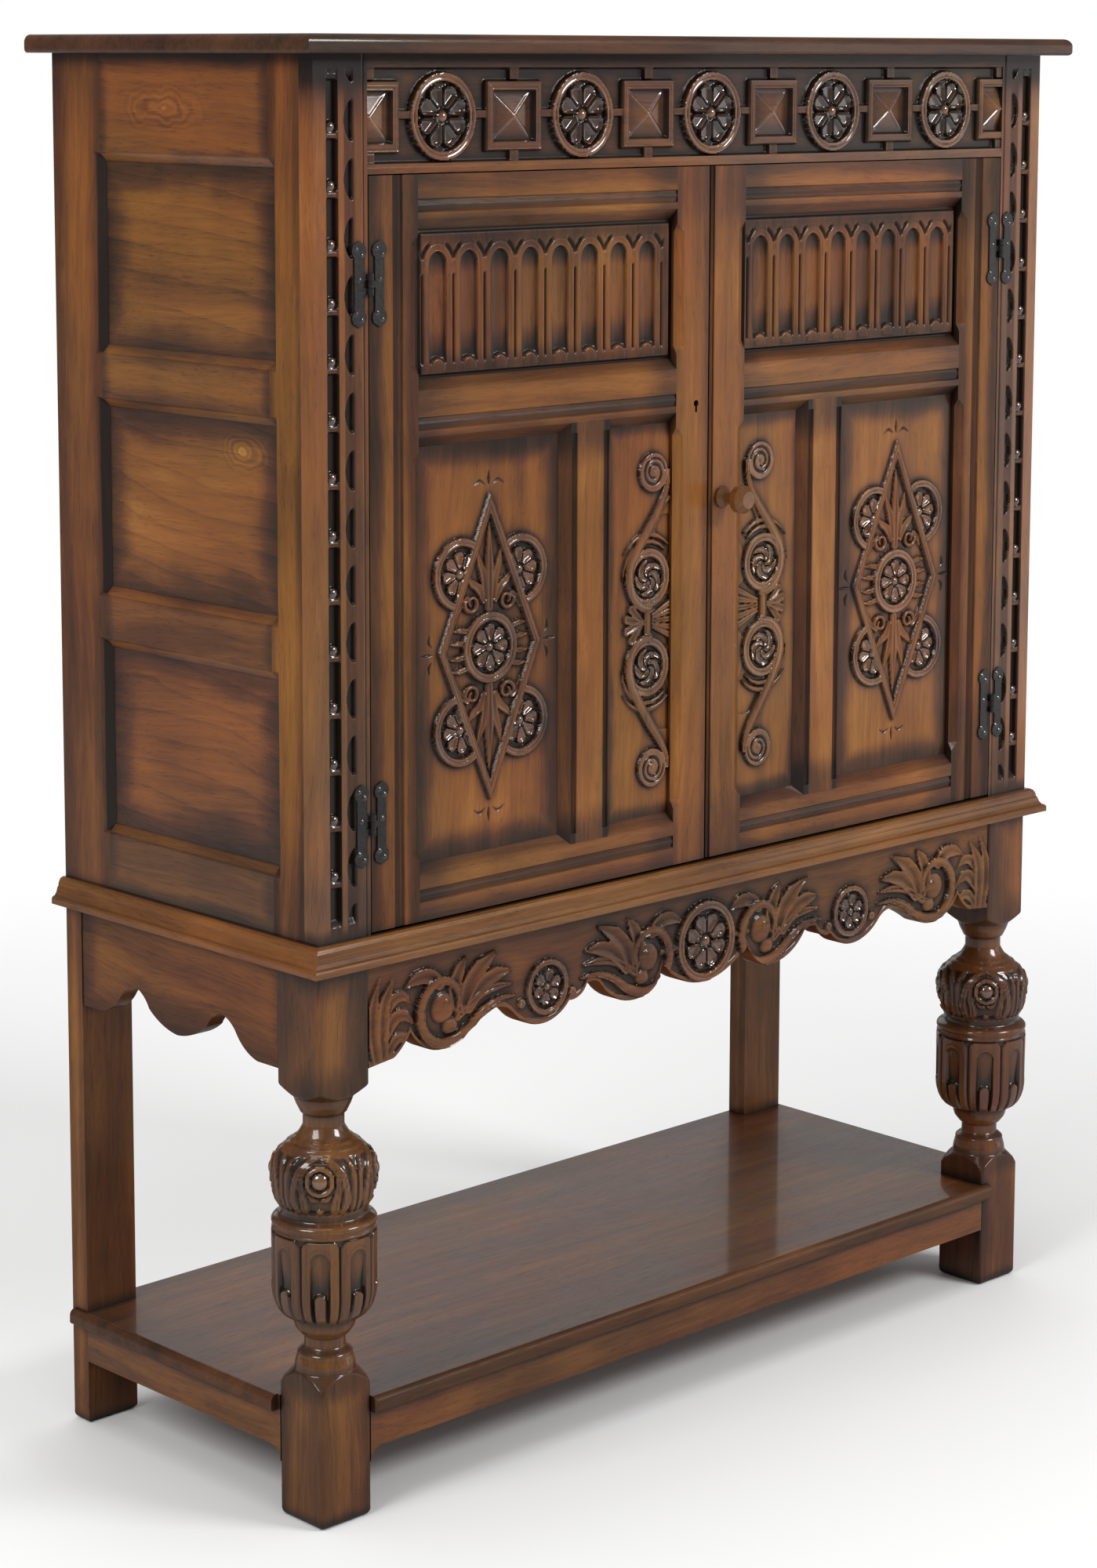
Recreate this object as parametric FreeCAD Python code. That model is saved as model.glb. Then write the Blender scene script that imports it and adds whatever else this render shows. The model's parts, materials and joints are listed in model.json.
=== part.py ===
import FreeCAD, Part
import math
import os
from FreeCAD import Vector

os.makedirs("parts", exist_ok=True)

# Court cupboard on a stand, in millimetres. The pieces are built with x across from the middle of the
# case, y back from the face of the case and z up from the floor. save() then slides them along y, so
# that the origin is under the middle of the whole object, knob included.

# Overall sizes
case_width = 1050.0
case_depth = 397.0
total_height = 1420.0
stand_height = 575.0

# Clearances and joinery
cut_overrun = 2.0
seat_gap = 0.2
running_gap = 0.05
door_gap = 1.2
tenon_length = 18.0
tenon_thickness = 7.0
tenon_shoulder = 9.0
groove_depth = 8.0

# Top board
top_thickness = 18.0
top_overhang = 25.0
top_rear_overhang = 11.0
top_edge_radius = 8.0
top_under_radius = 4.0

# Face frame of the case: stiles and carved frieze
face_thickness = 20.0
stile_width = 65.0
frieze_height = 110.0
frieze_ground = 5.5
frieze_top_border = 13.0
frieze_bottom_border = 9.5
frieze_pitch = 182.5
medallion_radius = 41.5
medallion_ring = 8.0
medallion_count = 5
square_side = 71.0
square_height = 66.0
square_bar = 10.5
pyramid_height = 5.0
link_bar = 5.0
stub_bar = 10.0

# Running ladder of pits on the stiles
pit_pitch = 53.7
pit_rows = 14
pit_length = 39.0
pit_width = 11.5
pit_depth = 6.0
pit_slope = 8.0
pit_outer_edge = 18.0
pit_rib = 7.0
pit_top_margin = 62.0

# Side frames, of the same section on both sides
side_thickness = 22.0
side_front_stile = 45.0
side_rear_stile = 75.0
side_top_rail = 104.5
side_middle_rail = 62.0
side_bottom_rail = 66.0
side_panel_rows = 3

# Recessed panels and the chamfers round them
panel_recess = 9.0
panel_thickness = 7.0
side_chamfer = 10.0

# Inside of the case
floor_thickness = 16.0
shelf_thickness = 16.0
shelf_drop = 128.8
bearer_size = 18.0
back_thickness = 10.0
back_rebate = 10.0
back_board_count = 6
back_board_gap = 0.5

# Doors
door_floor_gap = 2.5
meeting_offset = 3.0
meeting_gap = 2.0
left_hinge_stile = 61.0
left_meeting_stile = 46.0
left_scroll_width = 84.0
right_hinge_stile = 65.0
right_meeting_stile = 52.0
right_scroll_width = 89.0
door_top_rail = 52.0
door_middle_rail = 65.0
door_bottom_rail = 55.0
arcade_height = 140.0
muntin_width = 73.0
rail_chamfer = 10.5
stop_chamfer = 10.0
stop_chamfer_depth = 5.0
stop_length = 13.0
stop_run_out = 10.4
stop_tip_depth = 0.5
scratch_width = 13.0
scratch_depth = 1.6
scratch_inset = 29.0
rail_scratch_inset = 18.0
upper_scratch_inset = 16.5
muntin_scratch_width = 8.0
edge_bead = 6.5

# Carved panels
flute_count = 8
flute_width = 22.0
flute_depth = 4.0
flute_side_margin = 14.0
flute_top_margin = 21.0
flute_foot_margin = 19.0
lozenge_end_margin = 46.0
lozenge_side_margin = 24.0
strap_width = 9.5
strap_height = 3.0
roundel_radius = 36.0
roundel_ring = 8.0
scroll_roundel_radius = 28.0
scroll_roundel_offset = 34.0
volute_offset = 26.0
volute_radius = 20.0
volute_end_margin = 49.0

# Front legs
leg_size = 62.0
bulb_radius = 51.0
turned_bottom = 150.0
turned_height = 272.0
shoulder_height = 19.0
foot_rounding = 6.0
cup_flute_count = 8
cup_flute_width = 20.0
cup_flute_depth = 3.5
rear_leg_depth = 25.0

# Aprons and lower rails
apron_height = 130.0
apron_thickness = 20.0
apron_set_back = 2.0
apron_tongue_drop = 91.0
rear_apron_height = 75.0
rail_bottom = 67.0
rail_height = 37.0
rail_thickness = 22.0
rail_bracket = 14.0

# Pot board
board_thickness = 16.0
board_lip = 8.0
board_leg_gap = 0.4
lip_rounding = 7.0
lip_under_rounding = 3.0
lip_stop = 4.0
lip_lap = 10.0
lip_rear_margin = 5.0

# Waist moulding
moulding_height = 26.0
moulding_overhang = 18.0

# Hinges
hinge_length = 80.0
hinge_leaf_width = 18.0
hinge_strap = 11.0
hinge_plate = 1.6
hinge_knuckle_radius = 3.0
hinge_knuckle_length = 20.0
hinge_knuckle_gap = 0.4
hinge_pin_radius = 1.5
hinge_barrel_lift = 3.4
hinge_upper_inset = 99.5
hinge_lower_inset = 104.5

# Knob
knob_drop = 81.0
knob_inset = 20.0
knob_reach = 38.0
knob_head_radius = 14.5
knob_spigot_radius = 5.0
knob_spigot_length = 14.0

# Lock in the left door and the bolt inside it
lock_width = 26.0
lock_height = 62.0
lock_recess = 12.0
lock_bolt_height = 14.0
lock_bolt_thickness = 5.0
lock_bolt_length = 22.0
lock_bolt_travel = 8.0
keyhole_rise = 18.0
keyhole_inset = 17.0
keyhole_radius = 3.4
keyhole_slot = 9.0
keyhole_slot_width = 3.0
surface_bolt_radius = 3.5
surface_bolt_length = 80.0
surface_bolt_travel = 10.0
surface_plate_width = 24.0
surface_plate_thickness = 2.0
surface_staple_height = 10.0
surface_staple_margin = 5.0
surface_staple_wall = 2.0

# Worked out from the sizes above
half_width = case_width / 2
case_top = total_height - top_thickness
frieze_bottom = case_top - frieze_height
door_bottom = stand_height + door_floor_gap
door_top = frieze_bottom - door_gap
opening_left = -half_width + stile_width
opening_right = half_width - stile_width
left_door_start = opening_left + door_gap
left_door_end = -meeting_offset - meeting_gap / 2
right_door_start = -meeting_offset + meeting_gap / 2
right_door_end = opening_right - door_gap
hinge_gap_left = opening_left + door_gap / 2
hinge_gap_right = opening_right - door_gap / 2
panel_low = door_bottom + door_bottom_rail
arcade_top = door_top - door_top_rail
arcade_low = arcade_top - arcade_height
middle_rail_low = arcade_low - door_middle_rail
shelf_height = middle_rail_low - shelf_drop
knob_height = middle_rail_low - knob_drop
keyhole_height = middle_rail_low + keyhole_rise
hinge_upper_height = door_top - hinge_upper_inset
hinge_lower_height = door_bottom + hinge_lower_inset
turned_top = turned_bottom + turned_height
rail_top = rail_bottom + rail_height
board_top = rail_top + board_thickness
front_shift = (knob_reach - case_depth - top_rear_overhang) / 2


def box(x0, x1, y0, y1, z0, z1):
    return Part.makeBox(x1 - x0, y1 - y0, z1 - z0, Vector(x0, y0, z0))


def post(radius, x, y, z0, z1):
    return Part.makeCylinder(radius, z1 - z0, Vector(x, y, z0))


def disc(radius, x, z, y0, y1):
    # a round block standing out of an upright face
    return Part.makeCylinder(radius, y1 - y0, Vector(x, y0, z), Vector(0, 1, 0))


def ring(outer, width, x, z, y0, y1):
    return disc(outer, x, z, y0, y1).cut(disc(outer - width, x, z, y0 - cut_overrun, y1 + cut_overrun))


def plate_xz(points, y0, y1):
    # an outline in x and z, made solid from y0 to y1
    wire = Part.makePolygon([Vector(x, y0, z) for x, z in points + points[:1]])
    return Part.Face(wire).extrude(Vector(0, y1 - y0, 0))


def plate_yz(points, x0, x1):
    wire = Part.makePolygon([Vector(x0, y, z) for y, z in points + points[:1]])
    return Part.Face(wire).extrude(Vector(x1 - x0, 0, 0))


def plate_xy(points, z0, z1):
    wire = Part.makePolygon([Vector(x, y, z0) for x, y in points + points[:1]])
    return Part.Face(wire).extrude(Vector(0, 0, z1 - z0))


def joined(shapes):
    first = shapes[0]
    if len(shapes) == 1:
        return first
    return first.fuse(shapes[1:]).removeSplitter()


def carved(shape, cutters):
    return shape.cut(cutters).removeSplitter()


def mirrored(shape):
    # the same piece on the other side of the case
    return shape.mirror(Vector(0, 0, 0), Vector(1, 0, 0))


def to_left_side(shape):
    # a piece drawn as a front, with x from minus the depth to zero, turned to face left
    turned = shape.copy()
    turned.rotate(Vector(0, 0, 0), Vector(0, 0, 1), -90)
    turned.translate(Vector(-half_width, 0, 0))
    return turned


def save(name, shapes):
    solids = []
    for shape in shapes:
        solids += shape.Solids
    shape = Part.Compound(solids) if len(solids) > 1 else solids[0]
    shape = shape.copy()
    shape.translate(Vector(0, front_shift, 0))
    shape.exportStep("parts/" + name + ".step")
    print(name, len(solids), "solids", round(shape.Volume / 1000), "cm3", shape.isValid())


def flare(x0, x1, z0, z1, flare_x, flare_z, depth):
    # the chamfer cut round an opening: full size at the face, the opening's size at its depth
    grow = (depth + cut_overrun) / depth
    return Part.makeWedge(
        x0 - flare_x * grow, -cut_overrun, z0 - flare_z * grow, z0, x0,
        x1 + flare_x * grow, depth, z1 + flare_z * grow, z1, x1,
    )


def panel_groove(x0, x1, z0, z1):
    return box(
        x0 - groove_depth, x1 + groove_depth,
        panel_recess - seat_gap, panel_recess + panel_thickness + seat_gap,
        z0 - groove_depth, z1 + groove_depth,
    )


def panel_blank(x0, x1, z0, z1):
    tongue = groove_depth - seat_gap
    return box(
        x0 - tongue, x1 + tongue, panel_recess, panel_recess + panel_thickness,
        z0 - tongue, z1 + tongue,
    )


def tenons(x0, x1, z0, z1):
    # the tongues at both ends of a rail that spans x0 to x1
    y1 = panel_recess + tenon_thickness
    low = z0 + tenon_shoulder
    high = z1 - tenon_shoulder
    return [
        box(x0 - tenon_length, x0, panel_recess, y1, low, high),
        box(x1, x1 + tenon_length, panel_recess, y1, low, high),
    ]


def mortises(x0, x1, z0, z1):
    # the holes that take them in the pieces at either end
    y0 = panel_recess - seat_gap
    y1 = panel_recess + tenon_thickness + seat_gap
    low = z0 + tenon_shoulder - seat_gap
    high = z1 - tenon_shoulder + seat_gap
    reach = tenon_length + seat_gap
    return [
        box(x0 - reach, x0 + cut_overrun, y0, y1, low, high),
        box(x1 - cut_overrun, x1 + reach, y0, y1, low, high),
    ]


# Low bead between two quirks: width and depth shares of a scratched moulding
scratch_shares = [
    (0.00, 0.00), (0.11, 1.00), (0.33, 0.67), (0.50, 0.25), (0.67, 0.67), (0.89, 1.00), (1.00, 0.00),
]


def scratch_points(width):
    line = [(across * width, depth * scratch_depth) for across, depth in scratch_shares]
    return [(0, -cut_overrun)] + line + [(width, -cut_overrun)]


def scratch_across(x0, x1, z0, width):
    return plate_yz([(depth, z0 + across) for across, depth in scratch_points(width)], x0, x1)


def scratch_upright(x0, z0, z1, width):
    return plate_xy([(x0 + across, depth) for across, depth in scratch_points(width)], z0, z1)


def stopped_chamfer(edge, side, z0, z1):
    # shallow chamfer on a stile's arris, run out in a curve before each end; side is 1 where the wood
    # lies towards +x from the edge
    reach = side * stop_chamfer
    low = z0 + stop_length
    high = z1 - stop_length
    past = cut_overrun / stop_chamfer_depth
    section = [
        (edge + reach * (1 + past), -cut_overrun), (edge - reach * past, -cut_overrun),
        (edge - reach * past, stop_chamfer_depth * (1 + past)),
    ]
    wedge = plate_xy(section, low, high)
    ends = []
    for z, towards in ((low, -1), (high, 1)):
        foot = Part.makePolygon([Vector(x, y, z) for x, y in section + section[:1]])
        tip_z = z + towards * stop_run_out
        tip = [
            (edge + reach * past, -cut_overrun), (edge - reach * past, -cut_overrun),
            (edge - reach * past, stop_tip_depth),
        ]
        top = Part.makePolygon([Vector(x, y, tip_z) for x, y in tip + tip[:1]])
        ends.append(Part.makeLoft([foot, top], True, True))
    return [wedge] + ends


# Top board, frieze and stiles

def make_top_board():
    board = box(
        -half_width - top_overhang, half_width + top_overhang,
        -top_overhang, case_depth + top_rear_overhang, case_top, total_height,
    )
    rear = case_depth + top_rear_overhang
    upper = [
        edge for edge in board.Edges
        if edge.BoundBox.ZMin > total_height - running_gap and edge.CenterOfMass.y < rear - running_gap
    ]
    board = board.makeFillet(top_edge_radius, upper)
    under = [
        edge for edge in board.Edges
        if edge.BoundBox.ZMax < case_top + running_gap and edge.CenterOfMass.y < rear - running_gap
    ]
    return board.makeFillet(top_under_radius, under)


def make_pyramid_square(x, z, ground):
    # square frame with a low four-sided pyramid inside
    outer = box(
        x - square_side / 2, x + square_side / 2, 0, ground,
        z - square_height / 2, z + square_height / 2,
    )
    half_w = square_side / 2 - square_bar
    half_h = square_height / 2 - square_bar
    inner = box(x - half_w, x + half_w, -cut_overrun, ground + cut_overrun, z - half_h, z + half_h)
    base = Part.makePolygon([
        Vector(x - half_w, ground, z - half_h), Vector(x + half_w, ground, z - half_h),
        Vector(x + half_w, ground, z + half_h), Vector(x - half_w, ground, z + half_h),
        Vector(x - half_w, ground, z - half_h),
    ])
    pyramid = Part.makeLoft([base, Part.Vertex(Vector(x, ground - pyramid_height, z))], True, True)
    stub = box(
        x - stub_bar / 2, x + stub_bar / 2, 0, ground,
        frieze_bottom + frieze_bottom_border, case_top - frieze_top_border,
    )
    return outer.fuse(stub).cut(inner).fuse(pyramid)


def make_frieze():
    rail = box(opening_left, opening_right, 0, face_thickness, frieze_bottom, case_top)
    low = frieze_bottom + frieze_bottom_border
    high = case_top - frieze_top_border
    middle = (low + high) / 2
    rail = rail.cut(box(opening_left, opening_right, -cut_overrun, frieze_ground, low, high))
    carving = []
    for number in range(medallion_count):
        x = (number - (medallion_count - 1) / 2) * frieze_pitch
        carving.append(ring(medallion_radius, medallion_ring, x, middle, 0, frieze_ground))
        reach = frieze_pitch / 2 - square_side / 2
        for side in (-1, 1):
            inside = x + side * (medallion_radius - medallion_ring / 2)
            outside = x + side * (reach + square_bar / 2)
            carving.append(box(
                min(inside, outside), max(inside, outside), 0, frieze_ground,
                middle - link_bar / 2, middle + link_bar / 2,
            ))
    for number in range(medallion_count + 1):
        x = (number - medallion_count / 2) * frieze_pitch
        carving.append(make_pyramid_square(x, middle, frieze_ground))
    field = box(opening_left, opening_right, 0, face_thickness, frieze_bottom, case_top)
    carving = [piece.common(field) for piece in carving]
    return joined([rail] + carving + tenons(opening_left, opening_right, frieze_bottom, case_top))


def make_pit(x, z):
    # long gouged pit with a sloping tongue at each end
    return plate_yz([
        (-cut_overrun, z), (0, z), (pit_depth, z + pit_slope),
        (pit_depth, z + pit_length - pit_slope / 2), (0, z + pit_length), (-cut_overrun, z + pit_length),
    ], x, x + pit_width)


def make_front_stile():
    stile = box(-half_width, opening_left, 0, face_thickness, stand_height, case_top)
    outer = -half_width + pit_outer_edge
    inner = outer + pit_width + pit_rib
    cutters = []
    for row in range(pit_rows):
        z = case_top - pit_top_margin - row * pit_pitch
        cutters.append(make_pit(outer, z - pit_length))
        cutters.append(make_pit(inner, z - pit_length - pit_pitch / 4))
    cutters += mortises(opening_left, opening_right, frieze_bottom, case_top)
    return carved(stile, cutters)


# Side frames: drawn facing forward, then turned

def side_openings():
    rows = side_panel_rows
    room = case_top - side_top_rail - stand_height - side_bottom_rail
    height = (room - (rows - 1) * side_middle_rail) / rows
    x0 = -case_depth + side_rear_stile
    x1 = -face_thickness - side_front_stile
    low = stand_height + side_bottom_rail
    step = height + side_middle_rail
    return [(x0, x1, low + row * step, low + row * step + height) for row in range(rows)]


def side_rail_spans():
    openings = side_openings()
    spans = [(stand_height, openings[0][2])]
    for below, above in zip(openings, openings[1:]):
        spans.append((below[3], above[2]))
    spans.append((openings[-1][3], case_top))
    return spans


def make_side_frame():
    openings = side_openings()
    x0 = openings[0][0]
    x1 = openings[0][1]
    cutters = [flare(*opening, side_chamfer, side_chamfer, panel_recess) for opening in openings]
    cutters += [panel_groove(*opening) for opening in openings]
    rails = []
    holes = []
    for low, high in side_rail_spans():
        rail = box(x0, x1, 0, side_thickness, low, high)
        rails.append(joined([carved(rail, cutters)] + tenons(x0, x1, low, high)))
        holes += mortises(x0, x1, low, high)
    rear = box(-case_depth, x0, 0, side_thickness, stand_height, case_top)
    rebate = box(
        -case_depth - cut_overrun, -case_depth + back_thickness + seat_gap,
        side_thickness - back_rebate, side_thickness + cut_overrun,
        stand_height - cut_overrun, case_top + cut_overrun,
    )
    front = box(x1, -face_thickness, 0, side_thickness, stand_height, case_top)
    rear = carved(rear, cutters + holes + [rebate])
    front = carved(front, cutters + holes)
    panels = [panel_blank(*opening) for opening in openings]
    return front, rear, rails, panels


# Inside of the case

def make_floor():
    inside = half_width - side_thickness
    return box(
        -inside + seat_gap, inside - seat_gap, face_thickness + door_gap / 2,
        case_depth - back_thickness - seat_gap, stand_height, stand_height + floor_thickness,
    )


def make_shelf():
    inside = half_width - side_thickness
    return box(
        -inside + seat_gap, inside - seat_gap, face_thickness + door_gap,
        case_depth - back_thickness - seat_gap, shelf_height, shelf_height + shelf_thickness,
    )


def make_bearer():
    inside = half_width - side_thickness
    return box(
        -inside, -inside + bearer_size, face_thickness + door_gap,
        case_depth - back_thickness - seat_gap, shelf_height - bearer_size, shelf_height,
    )


def make_back_boards():
    reach = half_width - side_thickness + back_rebate - seat_gap
    step = 2 * reach / back_board_count
    boards = []
    for number in range(back_board_count):
        x = -reach + number * step
        boards.append(box(
            x, x + step - back_board_gap, case_depth - back_thickness, case_depth,
            stand_height, case_top,
        ))
    return boards


# Doors

def make_arcade(x0, x1, z0, z1):
    # nulled panel: round-topped flutes sunk side by side
    panel = panel_blank(x0, x1, z0, z1)
    room = x1 - x0 - 2 * flute_side_margin
    step = room / flute_count
    low = z0 + flute_foot_margin
    high = z1 - flute_top_margin - flute_width / 2
    cutters = []
    for number in range(flute_count):
        x = x0 + flute_side_margin + (number + 0.5) * step
        cutters.append(box(
            x - flute_width / 2, x + flute_width / 2, panel_recess - cut_overrun,
            panel_recess + flute_depth, low, high,
        ))
        cutters.append(disc(
            flute_width / 2, x, high, panel_recess - cut_overrun, panel_recess + flute_depth,
        ))
    return carved(panel, cutters)


def diamond(x, z, half_w, half_h, y0, y1):
    return plate_xz([(x, z - half_h), (x + half_w, z), (x, z + half_h), (x - half_w, z)], y0, y1)


# Heights of the bosses and roundels from the panel's middle, as shares of half its ornament
roundel_rise_share = 0.48
scroll_rise_share = 0.30


def make_lozenge(x0, x1, z0, z1):
    # tall strapwork lozenge over four bosses, with a roundel in the middle
    panel = panel_blank(x0, x1, z0, z1)
    x = (x0 + x1) / 2
    z = (z0 + z1) / 2
    half_w = (x1 - x0) / 2 - lozenge_side_margin
    half_h = (z1 - z0) / 2 - lozenge_end_margin
    face = panel_recess - strap_height
    slant = math.hypot(half_w, half_h)
    inner_w = half_w - strap_width * slant / half_h
    inner_h = half_h - strap_width * slant / half_w
    outer = diamond(x, z, half_w, half_h, face, panel_recess)
    inner = diamond(x, z, inner_w, inner_h, face - cut_overrun, panel_recess + cut_overrun)
    raised = [outer.cut(inner)]
    for side in (-1, 1):
        for rise in (-1, 1):
            boss = disc(
                roundel_radius, x + side * (half_w - roundel_radius + strap_width / 2),
                z + rise * roundel_rise_share * half_h, face, panel_recess,
            )
            raised.append(boss.cut(inner))
    raised.append(ring(roundel_radius, roundel_ring, x, z, face, panel_recess))
    return joined([panel] + raised)


def make_scroll(x0, x1, z0, z1, from_left):
    # half of a scroll ornament that runs behind the meeting stile, so that it is cut off there
    panel = panel_blank(x0, x1, z0, z1)
    z = (z0 + z1) / 2
    half = (z1 - z0) / 2 - volute_end_margin
    side = 1 if from_left else -1
    edge = x0 if from_left else x1
    x = edge + side * scroll_roundel_offset
    far_x = edge + side * volute_offset
    face = panel_recess - strap_height
    raised = []
    for rise in (-1, 1):
        near = z + rise * (scroll_rise_share * half + strap_width)
        far = z + rise * half
        raised.append(disc(scroll_roundel_radius, x, z + rise * scroll_rise_share * half, face, panel_recess))
        raised.append(disc(volute_radius, far_x, far, face, panel_recess))
        raised.append(plate_xz([
            (x + side * scroll_roundel_radius, near),
            (x + side * (scroll_roundel_radius - strap_width), near),
            (far_x - side * volute_radius, far), (far_x - side * (volute_radius - strap_width), far),
        ], face, panel_recess))
    raised.append(box(
        x - strap_width / 2, x + strap_width / 2, face, panel_recess,
        z - scroll_rise_share * half, z + scroll_rise_share * half,
    ))
    field = box(x0, x1, 0, face_thickness, z0, z1)
    return joined([panel] + [piece.common(field) for piece in raised])


def make_door(start, end, hinge_width, meeting_width, scroll_width, hinged_left):
    # frame-and-panel door; start and end are its edges in x
    if hinged_left:
        x0 = start + hinge_width
        x1 = end - meeting_width
        muntin_end = x1 - scroll_width
        muntin_start = muntin_end - muntin_width
        scroll_field = (muntin_end, x1, panel_low, middle_rail_low)
        lozenge_field = (x0, muntin_start, panel_low, middle_rail_low)
    else:
        x0 = start + meeting_width
        x1 = end - hinge_width
        muntin_start = x0 + scroll_width
        muntin_end = muntin_start + muntin_width
        scroll_field = (x0, muntin_start, panel_low, middle_rail_low)
        lozenge_field = (muntin_end, x1, panel_low, middle_rail_low)
    arcade_field = (x0, x1, arcade_low, arcade_top)
    fields = [arcade_field, scroll_field, lozenge_field]
    grooves = [panel_groove(*field) for field in fields]
    flares = [
        flare(x0, x1, arcade_low, arcade_top, 0, rail_chamfer, panel_recess),
        flare(x0, x1, panel_low, middle_rail_low, 0, rail_chamfer, panel_recess),
    ]
    spans = {
        "bottom_rail": (door_bottom, panel_low),
        "middle_rail": (middle_rail_low, arcade_low),
        "top_rail": (arcade_top, door_top),
    }
    pieces = {}
    holes = []
    muntin_tongue = box(
        muntin_start + groove_depth + seat_gap, muntin_end - groove_depth - seat_gap,
        panel_recess, panel_recess + tenon_thickness,
        panel_low - tenon_length + seat_gap, middle_rail_low + tenon_length - seat_gap,
    )
    muntin_hole = box(
        muntin_start + groove_depth, muntin_end - groove_depth,
        panel_recess - seat_gap, panel_recess + tenon_thickness + seat_gap,
        panel_low - tenon_length, middle_rail_low + tenon_length,
    )
    for name, (low, high) in spans.items():
        rail = box(x0, x1, 0, face_thickness, low, high)
        scratch = low + rail_scratch_inset
        if name != "bottom_rail":
            scratch = low + upper_scratch_inset
        cutters = grooves + flares + [scratch_across(x0, x1, scratch, scratch_width), muntin_hole]
        pieces[name] = joined([carved(rail, cutters)] + tenons(x0, x1, low, high))
        holes += mortises(x0, x1, low, high)
    left = box(start, x0, 0, face_thickness, door_bottom, door_top)
    right = box(x1, end, 0, face_thickness, door_bottom, door_top)
    for low, high in ((panel_low, middle_rail_low), (arcade_low, arcade_top)):
        left = left.cut(stopped_chamfer(x0, -1, low, high))
        right = right.cut(stopped_chamfer(x1, 1, low, high))
    if hinged_left:
        lines = scratch_upright(start + scratch_inset, door_bottom, door_top, scratch_width)
    else:
        lines = scratch_upright(end - scratch_inset - scratch_width, door_bottom, door_top, scratch_width)
        bead = scratch_upright(start, door_bottom, door_top, edge_bead)
        left = left.cut(bead)
    left = carved(left, grooves + holes + ([lines] if hinged_left else []))
    right = carved(right, grooves + holes + ([] if hinged_left else [lines]))
    pieces["hinge_stile"] = left if hinged_left else right
    pieces["meeting_stile"] = right if hinged_left else left
    muntin = box(muntin_start, muntin_end, 0, face_thickness, panel_low, middle_rail_low)
    edges = [
        flare(scroll_field[0], scroll_field[1], panel_low, middle_rail_low, rail_chamfer, 0, panel_recess),
        flare(lozenge_field[0], lozenge_field[1], panel_low, middle_rail_low, rail_chamfer, 0, panel_recess),
        scratch_upright(muntin_start + rail_chamfer, panel_low, middle_rail_low, muntin_scratch_width),
        scratch_upright(
            muntin_end - rail_chamfer - muntin_scratch_width, panel_low, middle_rail_low, muntin_scratch_width,
        ),
    ]
    pieces["muntin"] = joined([carved(muntin, edges + grooves), muntin_tongue])
    pieces["arcade_panel"] = make_arcade(*arcade_field)
    pieces["lozenge_panel"] = make_lozenge(*lozenge_field)
    pieces["scroll_panel"] = make_scroll(*scroll_field, not hinged_left)
    return pieces


# Stand: turned legs, aprons, rails and pot board

# Radius and height shares of the turning, from the foot block up
turning_shares = [
    (0.390, 0.083),
    (0.390, 0.114),
    (0.575, 0.176),
    (0.785, 0.202),
    (0.950, 0.248),
    (1.000, 0.316),
    (1.000, 0.522),
    (0.860, 0.584),
    (0.960, 0.632),
    (1.000, 0.690),
    (0.955, 0.768),
    (0.795, 0.815),
    (0.630, 0.828),
    (0.400, 0.882),
    (0.400, 0.926),
    (0.575, 0.990),
]


def leg_spindle(x, y):
    # turned body of a leg, wider than its blocks where the square ends are
    half = leg_size / 2
    wide = bulb_radius + foot_rounding
    corner = half * math.sqrt(2) + seat_gap
    outline = [
        (0, 0), (wide, 0), (wide, turned_bottom - shoulder_height),
        (corner, turned_bottom - shoulder_height), (half, turned_bottom),
    ]
    for r_share, z_share in turning_shares:
        outline.append((r_share * bulb_radius, turned_bottom + z_share * turned_height))
    outline += [
        (half, turned_top), (corner, turned_top + shoulder_height),
        (wide, turned_top + shoulder_height), (wide, stand_height), (0, stand_height),
    ]
    wire = Part.makePolygon([Vector(x + r, y, z) for r, z in outline + outline[:1]])
    return Part.Face(wire).revolve(Vector(x, y, 0), Vector(0, 0, 1), 360)


# Height shares of the cup's flutes within the turned part: where their round heads spring, and a foot
# below the place where they run out on the cup's underside
flute_head_share = 0.440
flute_foot_share = 0.185


def cup_cutters(x, y):
    # round-headed flutes round the cup, sunk towards its axis
    low = turned_bottom + flute_foot_share * turned_height
    high = turned_bottom + flute_head_share * turned_height
    half = cup_flute_width / 2
    floor = bulb_radius - cup_flute_depth
    reach = bulb_radius + cut_overrun
    flute = box(floor, reach, -half, half, low, high)
    head = Part.makeCylinder(half, reach - floor, Vector(floor, 0, high), Vector(1, 0, 0))
    flute = joined([flute, head])
    cutters = []
    for number in range(cup_flute_count):
        cutter = flute.copy()
        cutter.rotate(Vector(0, 0, 0), Vector(0, 0, 1), number * 360 / cup_flute_count)
        cutter.translate(Vector(x, y, 0))
        cutters.append(cutter)
    return cutters


def make_front_leg():
    half = leg_size / 2
    x = -half_width + half
    y = half
    blocks = [
        box(x - half, x + half, 0, leg_size, 0, turned_bottom),
        post(bulb_radius + foot_rounding, x, y, turned_bottom, turned_top),
        box(x - half, x + half, 0, leg_size, turned_top, stand_height),
    ]
    leg = leg_spindle(x, y).common(blocks[0].fuse(blocks[1:]))
    foot = [
        edge for edge in leg.Edges
        if edge.BoundBox.ZMax < running_gap and edge.Curve.TypeId == "Part::GeomLine"
    ]
    leg = leg.makeFillet(foot_rounding, foot)
    cutters = cup_cutters(x, y)
    cutters.append(apron_mortise())
    cutters.append(side_apron_mortise())
    cutters.append(rail_mortise())
    cutters.append(side_rail_mortise())
    return carved(leg, cutters)


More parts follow.
